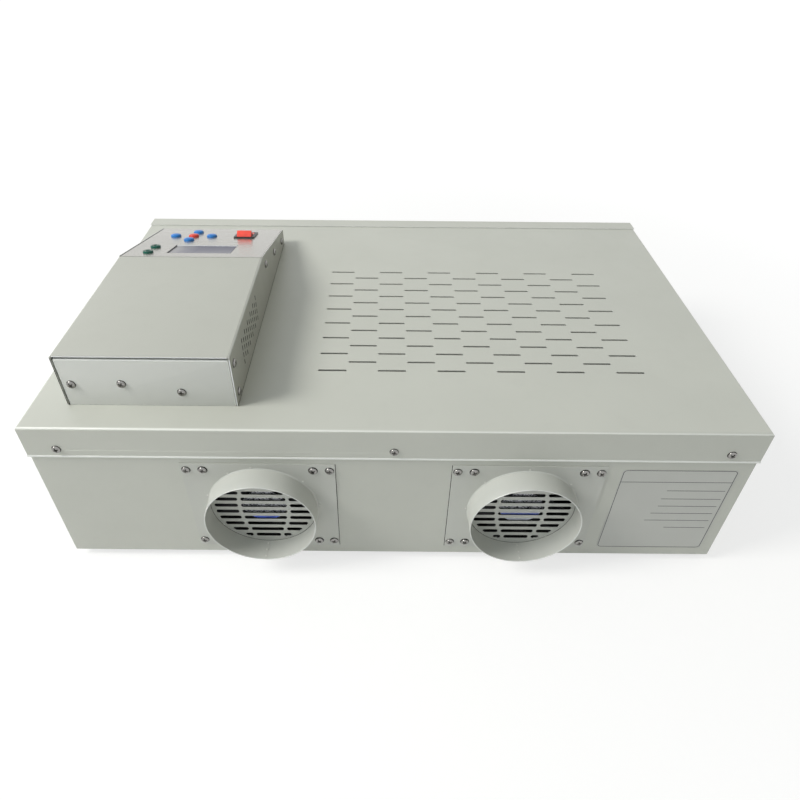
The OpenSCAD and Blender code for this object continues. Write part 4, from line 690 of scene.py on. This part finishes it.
def collar(side, word, seam, outer, inner):
    """A rolled steel collar with a cut rim in a light colour that is partly bare steel and partly a painted
    highlight, a lapped seam inside, a bead round its base, spot welds, and a dark ring of painted shade at
    its inner foot.
    """
    f = back_wall(side*FAN_X, PLATE_Y, FAN_Z)
    bm = bmesh.new()
    rings = []
    for r, h in COLLAR:
        out_of_round = 0.35*(h/COLLAR_LEN)**1.5
        loop = []
        for i in range(COLLAR_SEG):
            a = 2*math.pi*i/COLLAR_SEG
            q = r + out_of_round*field.noise(Vector((math.cos(a)*1.3 + 5*side, math.sin(a)*1.3, 0.3)))
            loop.append(bm.verts.new(f @ Vector((q*math.cos(a), q*math.sin(a), h))))
        rings.append(loop)
    # the cut rim's faces get the light rim colour: bare steel, and a painted highlight
    for k, loop in enumerate(rings):
        strip(bm, loop, rings[(k + 1) % len(rings)], 1 if k in CUT_RIM else 0)
    ring(bm, [(54.2, 0.0), (55.2, 0.0), (55.0, 0.35), (54.6, 0.75), (54.2, 0.95)], f, COLLAR_SEG)
    # a dark ring of painted shade where the collar meets the plate inside
    ring(bm, [(53.0, 0.0), (53.35, 0.0), (53.35, 0.25), (53.1, 0.18)], f, COLLAR_SEG, 3)
    lap = f @ Matrix.Rotation(math.radians(seam), 4, "Z")
    block(bm, (53.05, -1.3, 0.4), (53.6, 1.3, 23.2), lap)
    for h in (4.0, 12.0, 20.0):
        lathe(bm, SEAM_DOT, lap @ at(53.05, 0, h) @ Matrix.Rotation(-math.pi/2, 4, "Y"), 12, 2)
    rnd = random.Random(word)
    for angles, r, dot, stray in ((outer, 56.3, OUTER_DOT, 1), (inner, 52.3, INNER_DOT, 2)):
        for a in angles:
            q = math.radians(a + rnd.uniform(-stray, stray))
            lathe(bm, dot, f @ at(r*math.cos(q), r*math.sin(q), 0), 12, 2)
    emit("collar_" + word, bm, "collar rim weld cut_dark", replaces=["duct_collar_" + word], smooth=28)


def hub_sticker(side, word, bands):
    """A film on the motor's face, with bands of (material, low, high, top) across its lower part."""
    f = back_wall(side*FAN_X, HUB_Y, FAN_Z)
    bm = bmesh.new()
    lathe(bm, [(21.9, 0.0), (21.9, 0.12), (21.7, 0.16), (0, 0.16)], f, 72)
    for mat, lo, hi, top in bands:
        heights = [lo + (hi - lo)*i/16 for i in range(17)]
        pts = [(math.sqrt(21.4**2 - y*y), y) for y in heights]
        slab(bm, pts + [(-x, y) for x, y in reversed(pts)], 0.1, top, f, mat=mat)
    emit("hub_film_" + word, bm, "hub_label hub_blue hub_white")


collar(1, "left", -91, (3, 42, 97, 121, 162), (212, 330))
hub_sticker(1, "left", [(1, -20.8, -14.6, 0.2)])
collar(-1, "right", -87, (41, 90, 136, 180), (250, 306))
hub_sticker(-1, "right", [(2, -20.8, -5.4, 0.2), (1, -13.6, -8.6, 0.24)])


# ---------------------------------------------------------------- rating label: a frame and ruled lines
f = back_wall(RATING_X, 236.65, RATING_Z)
frame_w, frame_h, line = RATING_W - 1.9, RATING_H - 0.8, 0.65
bm = bmesh.new()
slab(bm, round_rect(frame_w, frame_h, 4.0), 0.0, 0.05, f,
     inner=round_rect(frame_w - 2*line, frame_h - 2*line, 4.0 - line))
for x0, x1, y in ((-54, 54, 42.0), (-5.6, 51.2, 30.0), (-8, 50.8, 18.2), (-8, 50.4, 7.5), (-12.4, 49.8, -3.3),
                  (-16, 49.8, -14.1), (7.2, 49.4, -25.3)):
    block(bm, (x0, y - 0.3, 0), (x1, y + 0.3, 0.05), f)
emit("rating_print", bm, "ink")


# ---------------------------------------------------------------- keys, rocker and jacks
KEYCAP = [(0, -9.5), (2.5, -9.5), (2.5, -2.8), (7.5, -2.8), (7.7, -2.6), (7.7, -1.5), (7.5, -1.3),
          (KEY_R, -1.3), (KEY_R, 1.3), (6.12, 1.7), (5.9, 2.1), (5.4, 2.5), (4.6, 2.84), (3.5, 3.1),
          (2.3, 3.28), (1.15, 3.37), (0, 3.4)]
for word, dx, ds in (("up", 0, -1), ("down", 0, 1), ("left", -1, 0), ("right", 1, 0), ("enter", 0, 0)):
    bm = bmesh.new()
    lathe(bm, KEYCAP, slope_frame(KEYS_X + dx*KEY_PITCH, KEYS_S + ds*KEY_PITCH))
    color = "key_red" if word == "enter" else "key_blue"
    emit("keycap_" + word, bm, color, body="key_" + word, replaces=["key_" + word], smooth=40)

f = slope_frame(ROCKER_X, ROCKER_S)
bm, tool, well = bmesh.new(), bmesh.new(), bmesh.new()
slab(bm, round_rect(25.5, 31, 2.0), -0.01, 1.5, f)
block(tool, (-10.95, -13.7, -14), (10.95, 13.7, 0.4), f)
slab(well, round_rect(18.5, 27.6, 0.8), -8.7, 3, f)
bm = carve(carve(bm, tool, "UNION"), well)
emit("rocker_housing", bm, "black", replaces=["rocker_bezel"], bevel=0.35)

# the rocker's side view: a round belly, and two faces that meet in a valley
f = f @ at(0, 0, ROCKER_PIVOT) @ Matrix.Rotation(ROCKER_TILT, 4, "X")
valley, lean = ROCKER_RISE - ROCKER_PIVOT, math.tan(ROCKER_TILT)
arc, a = [], math.radians(-17.0)
while ROCKER_R*math.sin(a) < valley + ROCKER_R*math.cos(a)*lean - 0.5:
    arc.append((ROCKER_R*math.cos(a), ROCKER_R*math.sin(a)))
    a += math.radians(4.0)
y1 = arc[-1][0] - 0.55
half = arc + [(y, valley + y*lean - 0.10*math.sin(math.pi*y/y1)) for y in (y1, 0.75*y1, 0.5*y1, 0.28*y1)]
half += [(1.0, valley + 0.45), (0.0, valley + 0.35)]
outline = half + [(-y, z) for y, z in reversed(half[:-1])]
bm = bmesh.new()
skin(bm, [[bm.verts.new(f @ Vector((x, y, z))) for y, z in outline] for x in (-8.95, 8.95)])
emit("rocker_cap", bm, "rocker", body="rocker", replaces=["rocker"], bevel=0.6, segments=3)

JACK = [(0, -12), (3.8, -12), (4.05, -11.6), (4.05, -0.01), (5.75, 0.0), (5.75, 1.7), (5.6, 2.1), (5.2, 2.35),
        (4.8, 2.4), (4.5, 2.0), (3.9, 2.0), (3.6, 2.4), (2.6, 2.4), (2.2, 2.2), (2.0, 1.8), (2.0, -8),
        (0, -8)]
bm = bmesh.new()
for s in JACK_S:
    f = slope_frame(JACK_X, s)
    lathe(bm, JACK, f)
    ring(bm, [(1.45, -7.9), (1.95, -7.9), (1.95, -1.2), (1.75, -1.0), (1.45, -1.2)], f, 32, 1)
    slab(bm, hexagon(6.7), -4, -1, f, inner=hexagon(4.05), mat=1)
    # four light dots on each socket's face: painted highlights
    for q in (math.radians(a) for a in (25, 70, 205, 250)):
        lathe(bm, [(0.5, 1.9), (0.4, 2.35), (0, 2.45)], f @ at(4.2*math.cos(q), 4.2*math.sin(q), 0), 10, 2)
emit("probe_sockets", bm, "jack brass weld", replaces=["sensor_jacks"], smooth=34)


# ---------------------------------------------------------------- display
f = slope_frame(LCD_X, LCD_S)
bm, tool = bmesh.new(), bmesh.new()
slab(bm, round_rect(LCD_W + 4, LCD_H + 4, 1.2), -3.3, -1.8, f)
slab(tool, round_rect(LCD_W - 1.4, LCD_H - 1.4, 0.6), -2.5, -1.05, f)
emit("display_glass", carve(bm, tool, "UNION"), "display", replaces=["display_window"], bevel=0.12)

# lining of the opening: a painted highlight on the lower sill, painted shade on the other three sides
bm = bmesh.new()
x1, y1, w = LCD_W/2 - 0.1, LCD_H/2 - 0.1, 0.5
block(bm, (-x1, -y1, -1.7), (w - x1, y1, -0.02), f, 1)
block(bm, (x1 - w, -y1, -1.7), (x1, y1, -0.02), f, 1)
block(bm, (w - x1, y1 - w, -1.7), (x1 - w, y1, -0.02), f, 1)
block(bm, (w - x1, -y1, -1.7), (x1 - w, -y1 + 1.2, -0.12), f)
emit("display_edge", bm, "gloss_white frit")


# ---------------------------------------------------------------- controller's back panel
def shell(w, h, d, r, t, f):
    """A folded panel: its face at z = 0, flanges down the sides and the top, open below."""
    bends = [math.radians(q) for q in (22.5, 45, 67.5)]

    def loop(bm, i, z, low):
        a, b, q = w/2 - i, h - i, max(r - i, 0.05)
        left = [(-a, low), (-a, b - q)] + [(-a + q - q*math.cos(t0), b - q + q*math.sin(t0)) for t0 in bends]
        left.append((-a + q, b))
        right = [(a - q, b)] + [(a - q + q*math.sin(t0), b - q + q*math.cos(t0)) for t0 in bends]
        return [bm.verts.new(f @ Vector((x, y, z))) for x, y in left + right + [(a, b - q), (a, low)]]
    bm, tool = bmesh.new(), bmesh.new()
    steps = [(r*(1 - math.sin(q)), -r*(1 - math.cos(q))) for q in [0.0] + bends + [math.pi/2]]
    skin(bm, [loop(bm, i, z, 0.0) for i, z in steps + [(0, -d)]])
    skin(tool, [loop(tool, i, z, -1.0) for i, z in ((t, -t), (t, -d - 1))])
    return carve(bm, tool)


f = back_wall(CTRL_X + 0.2, CTRL_BACK - 0.5, TOP + 0.2)
bm = shell(CTRL_W - 3.3, CTRL_H - 3.9, 17, 1.7, 1.0, f)
emit("controller_back", bm, "back", replaces=["ctrl_back_panel"], smooth=50)


# ---------------------------------------------------------------- controller's joints
bm = bmesh.new()
block(bm, (1 - CTRL_W/2, -1.4, -0.8), (CTRL_W/2 - 1, -0.12, -0.05), slope_frame(0, 0))
emit("bend_joint", bm, "box")

# dark sheets of painted shade behind the back panel's gap, under the cover's feet, behind the vents and
# beside the sloping panel
VENT_COLUMNS, VENT_PITCH = 11, 8
bm = bmesh.new()
outline = round_rect(CTRL_W - 2.02, 2*(CTRL_H - 1.01), 1.4)
inner = round_rect(CTRL_W - 7, 2*(CTRL_H - 3.5), 1.0)
slab(bm, outline, -0.8, 0.0, back_wall(CTRL_X, CTRL_BACK - 3.4, TOP), inner=inner)
bmesh.ops.bisect_plane(bm, geom=bm.verts[:] + bm.edges[:] + bm.faces[:], plane_co=(0, 0, TOP + 0.3),
                       plane_no=(0, 0, -1), clear_outer=True)
bmesh.ops.holes_fill(bm, edges=[e for e in bm.edges if e.is_boundary], sides=0)
for s in (-1, 1):
    side = CTRL_X + s*CTRL_W/2
    for x, w, y0, y1, z0, z1 in ((side - s*0.5, 0.55, CTRL_LEN - 1, 1, 0, 0.7),
                                 (side - s*1.9, 0.3, 140, 40, 8, 50)):
        block(bm, (x - w, CTRL_BACK - y0, TOP + z0), (x + w, CTRL_BACK - y1, TOP + z1))
    for c in range(VENT_COLUMNS):
        rows = 4 - c % 2
        for k in range(rows):
            y, z = CTRL_BACK - 89 - (c - 5)*VENT_PITCH, TOP + 28.5 + (k - (rows - 1)/2)*VENT_PITCH
            v = side_wall(side, y, z, s)
            slab(bm, round_rect(2.0, 5.8, 1.0), -1.25, 0.02, v, inner=round_rect(1.45, 5.25, 0.72))
block(bm, (CTRL_W/2 - 2.15, -SLOPE_LEN + 1.6, -0.9), (CTRL_W/2 - 0.98, -1.6, 0.06), slope_frame(0, 0))
emit("gap_shade_sheets", bm, "shade_sheet")

# painted highlights and painted shade as thin strips on edges: light beside the sloping panel, a white line
# over the back panel and down its -X side, a dark line down its +X side, and a light line under the front lip
bm = bmesh.new()
for s in (-1, 1):
    block(bm, (-0.42, -SLOPE_LEN + 0.6, -0.05), (0.42, -0.8, 0.16), slope_frame(s*(CTRL_W/2 - 0.5), 0))
x, z = CTRL_W/2 - 2.6, TOP + CTRL_H
block(bm, (CTRL_X - x, CTRL_BACK - 0.1, z - 1.12), (CTRL_X + x, CTRL_BACK + 0.12, z - 0.14), mat=1)
for x, w, mat in ((CTRL_X - CTRL_W/2 + 0.62, 0.52, 1), (CTRL_X + CTRL_W/2 - 0.42, 0.30, 2)):
    block(bm, (x - w, CTRL_BACK - 0.1, TOP + 1.0), (x + w, CTRL_BACK + 0.08, z - 2.4), mat=mat)
lip = FRONT + LIP_W
block(bm, (-BODY_W/2 + 0.3, lip - 0.1, TOP + 0.15), (BODY_W/2 - 0.3, lip + 0.14, TOP + 1.05))
emit("edge_glints_and_shade", bm, "rim gloss_white cut_dark", bevel=0.05)


# ---------------------------------------------------------------- bead under the cover's skirt, in a near-white paint that is a painted highlight
turns = [math.radians(a) for a in range(-90, 91, 15)]
outline = [(-1.2, -1.15)] + [(0.30*math.cos(t) + 0.15, 1.15*math.sin(t)) for t in turns] + [(-1.2, 1.15)]
start, z0 = FRONT + LIP_W + 2, SKIRT_LOW - 1.25
bm = bmesh.new()
skin(bm, [[bm.verts.new((sx*(BODY_W/2 + o), y + sy*o, z0 + z)) for o, z in outline]
          for sx, y, sy in ((1, start, 0), (1, BACK, 1), (-1, BACK, 1), (-1, start, 0))])
emit("skirt_bead", bm, "bead", smooth=50)


# ---------------------------------------------------------------- dark strips of painted shade in the gaps beside the grille plates
# wide on the outer side, a hairline towards the middle
bm = bmesh.new()
for side in (1, -1):
    f = back_wall(side*FAN_X, PLATE_Y - 1.0, FAN_Z)
    for x, w in ((side*(PLATE_W/2 + 0.25), 0.32), (-side*(PLATE_W/2 + 0.1), 0.10)):
        block(bm, (x - w, -JOINT_H/2, 0), (x + w, JOINT_H/2, 0.25), f)
emit("plate_gap_shade_lines", bm, "frit")


# ---------------------------------------------------------------- mains inlet
f = side_wall(340, INLET_Y, INLET_Z)
bm, tool = bmesh.new(), bmesh.new()
slab(bm, round_rect(50, 27, 4), 0, 2, f, inset=0.4)
block(tool, (-15.5, -12, -24), (15.5, 12, 0.5), f)
bm = carve(bm, tool, "UNION")
tool = bmesh.new()
slab(tool, [(-13.75, -9.5), (13.75, -9.5), (13.75, 6.0), (10.2, 9.5), (-10.2, 9.5), (-13.75, 6.0)], -16, 3, f)
bm = carve(bm, tool)
for s in (-1, 1):
    tool = bmesh.new()
    lathe(tool, [(0, -1), (1.6, -1), (1.6, 3), (0, 3)], f @ at(20*s, 0, 0), 24)
    bm = carve(bm, tool)
emit("inlet_housing", bm, "black", replaces=["mains_inlet"], bevel=0.25)
bm = bmesh.new()
for y, z in ((-6.5, -3.5), (6.5, -3.5), (0, 4.5)):
    block(bm, (y - 4, z - 1, -16.5), (y + 4, z + 1, 0), f)
emit("inlet_blades", bm, "chrome", bevel=0.4)


# ---------------------------------------------------------------- drawer front
GRIP = [(5.85, 20), (6.0, 60), (6.0, 93), (5.8, 94.4), (5.0, 95.5), (3.6, 96), (0, 96)]
POST = [(0, -6.2), (2, -6.2), (2, 0), (8.2, 0.0), (8.2, 1.2), (7.7, 1.8), (5.6, 2.2), (5.0, 3.2), (5.0, 24.0),
        (5.2, 27.0), (0, 27.0)]
bm = bmesh.new()
bar = along_x(0, FRONT_FACE - HANDLE_OUT + HANDLE_R, HANDLE_Z)
lathe(bm, [(r, -x) for r, x in reversed(GRIP)] + GRIP, bar)
for x in (-HANDLE_LEN/2, HANDLE_LEN/2):
    lathe(bm, POST, front_wall(x, FRONT_FACE, HANDLE_Z), 40)
emit("pull_handle", bm, "handle", body="drawer", replaces=["drawer_handle"], smooth=34)

bm = bmesh.new()
slab(bm, round_rect(454, 70, 13, 8), -1.0, 1.6, front_wall(0, FRONT_FACE, FRONT_MID_Z + 10),
     inner=round_rect(434, 50, 6, 8), inset=0.6)
emit("window_gasket", bm, "rubber", body="drawer")


# ---------------------------------------------------------------- infrared tubes
HALF, TURNS, STEP, COIL_R = TUBE_LEN/2, 110, 9, 1.25
CAP = [(0, 0), (5.05, 0), (5.05, -9), (6.6, -9), (7, -8.6), (7, -1), (6.6, -0.6), (6.6, 0.6), (7, 1),
       (7, 8.4), (6.4, 9), (2.2, 9), (2.0, 8.2), (0, 8.2)]
tubes, coils, caps = bmesh.new(), bmesh.new(), bmesh.new()
for y in TUBE_Y:
    end = [(4.0, HALF - 0.4), (4.3, HALF), (4.7, HALF), (5.0, HALF - 0.4)]
    ring(tubes, [(r, -x) for r, x in end] + end[::-1], along_x(0, y, TUBE_Z), 32)
    turns = [(i, 2*math.pi*i/STEP) for i in range(TURNS*STEP + 1)]
    sweep(coils, [(TUBE_LEN*i/(TURNS*STEP) - HALF, y + COIL_R*math.cos(a), TUBE_Z + COIL_R*math.sin(a))
                  for i, a in turns], 0.28, 5)
    for s in (-1, 1):
        outward = Matrix(((0, 0, s, s*HALF), (1, 0, 0, y), (0, s, 0, TUBE_Z), (0, 0, 0, 1)))
        lathe(caps, CAP, outward, 40)
emit("quartz_tubes", tubes, "quartz", replaces=["heater_tubes"], smooth=40)
emit("filament_coils", coils, "filament", replaces=["heater_coils"], smooth=60)
emit("end_caps", caps, "ceramic", replaces=["tube_caps"], smooth=34)


# ---------------------------------------------------------------- supply unit
BOARD_W, BOARD_D, BOARD = 116, 136, 7.6         # its width, its depth and the height of its top
FINS, FIN_W, SINK_X, SINK_W = 7, 2.4, 8, 60     # the heat sink
f = at(CTRL_X + 8 - BOARD_W/2, CTRL_BACK - 32 - BOARD_D, TOP + 1)
bm = bmesh.new()
block(bm, (0, 0, 6), (BOARD_W, BOARD_D, BOARD), f)
for x in (6, BOARD_W - 6):
    for y in (6, BOARD_D - 6):
        post = f @ at(x, y, 0)
        lathe(bm, [(0, 0), (3, 0), (3, 6), (0, 6)], post, 6, 1)
        lathe(bm, [(0, BOARD), (2.6, BOARD), (2.6, 8.6), (2.0, 9.2), (0, 9.2)], post, 24, 2)
for lo, hi, mat in (((8, 8, BOARD), (50, 44, 16), 3), ((13, 5.5, 12), (45, 46.5, 35.6), 4),
                    ((8, 8, 31.5), (50, 44, 39.6), 3), ((58, 8, BOARD), (86, 32, 25.6), 5)):
    block(bm, lo, hi, f, mat)
sink, pitch = bmesh.new(), (SINK_W - FIN_W)/FINS
block(sink, (SINK_X, 60, BOARD), (SINK_X + SINK_W, 112, 37.6), f)
for i in range(FINS):
    tool = bmesh.new()
    x = SINK_X + FIN_W + i*pitch
    block(tool, (x, 50, 12.6), (x + pitch - FIN_W, 120, 40), f)
    sink = carve(sink, tool)
for face in sink.faces:
    face.material_index = 6
bm.from_mesh(proto(sink))
SLEEVE = [(0, BOARD), (6.3, BOARD), (6.5, 8.2), (6.1, 9.0), (6.5, 9.8), (6.5, 30.6), (6.1, 31.4), (5.2, 31.6),
          (4.9, 31.2), (0, 31.2)]
for i in range(3):
    lathe(bm, SLEEVE, f @ at(90.5, 66.5 + 18*i, 0), 32, 7)
emit("supply_board", bm, "pcb brass chrome core winding relay zinc can", replaces=["power_unit"], bevel=0.2)


# ---------------------------------------------------------------- light
def light_path(nt, *kinds):
    """1 for rays of these kinds, 0 for others."""
    rays = nt.nodes.new("ShaderNodeLightPath").outputs
    out = rays[kinds[0]]
    for kind in kinds[1:]:
        out = arith(nt, "MAXIMUM", out, rays[kind])
    return out


def area(name, direction, size, energy, color=(1, 1, 1), distance=3.2):
    """A round soft light aimed at the middle of the object."""
    light = linked(name, bpy.data.lights.new(name, "AREA"))
    aim = Vector((0.0, 0.0, 0.12))
    light.location = aim + Vector(direction).normalized()*distance
    light.rotation_euler = (light.location - aim).to_track_quat("Z", "Y").to_euler()
    light.data.shape = "DISK"
    light.data.size, light.data.energy, light.data.color = size, energy, color


# The world is white to the camera, bright above the horizon in reflections, and soft and uneven as light.
world = bpy.data.worlds.new("studio")
scene.world = world
world.use_nodes = True
nt = world.node_tree
towards = add(nt, "SeparateXYZ", Vector=add(nt, "TexCoord").outputs["Generated"]).outputs
level = arith(nt, "ADD", ramp(nt, towards[0], -0.9, 0.5, 0.11, 0.385),
              ramp(nt, towards[2], 0.2, 0.9, 0.0, 0.37))
tone = mixed(nt, ramp(nt, towards[0], -0.7, 0.1, 0.0, 1.0), (1.0, 0.965, 0.78, 1), (0.90, 0.955, 1.0, 1))
soft = add(nt, "Background", Color=tone, Strength=level)
shine = add(nt, "Background", Color=(1, 1, 1, 1), Strength=ramp(nt, towards[2], -0.10, 0.10, 0.10, 1.0))
white = add(nt, "Background", Color=(1, 1, 1, 1), Strength=1.0)
seen = blended(nt, light_path(nt, "Is Glossy Ray"), soft, shine)
seen = blended(nt, light_path(nt, "Is Camera Ray", "Is Transmission Ray"), seen, white)
nt.links.new(seen.outputs[0], nt.nodes["World Output"].inputs["Surface"])

area("key_light", (0.57, 0.19, 0.54), 1.2, 70.0, (1.0, 0.985, 0.945))
area("fill_light", (-0.05, 0.80, 0.60), 2.2, 3.0, (0.60, 0.78, 1.0))
area("front_light", (0.66, -0.69, 0.29), 1.2, 7.0)


# ---------------------------------------------------------------- floor
floor_mat = bpy.data.materials.new("floor")
floor_mat.use_nodes = True
nt = floor_mat.node_tree
matt = nt.nodes["Principled BSDF"]
matt.inputs["Base Color"].default_value = (0.88, 0.88, 0.87, 1)
matt.inputs["Roughness"].default_value = 0.9
matt.inputs["Specular IOR Level"].default_value = 0.0
glow = add(nt, "Emission", Strength=1.10)
reach = add(nt, "VectorMath", Vector=add(nt, "TexCoord").outputs["Object"])
reach.operation = "LENGTH"
share = ramp(nt, reach.outputs["Value"], 0.45, 1.5, 0.62, 0.97)
seen = arith(nt, "MULTIPLY", light_path(nt, "Is Camera Ray", "Is Glossy Ray", "Is Transmission Ray"), share)
nt.links.new(blended(nt, seen, matt, glow).outputs[0], nt.nodes["Material Output"].inputs["Surface"])
bm = bmesh.new()
bmesh.ops.create_grid(bm, x_segments=8, y_segments=8, size=9.0)
floor = linked("floor", mesh("floor", bm))
floor.data.materials.append(floor_mat)
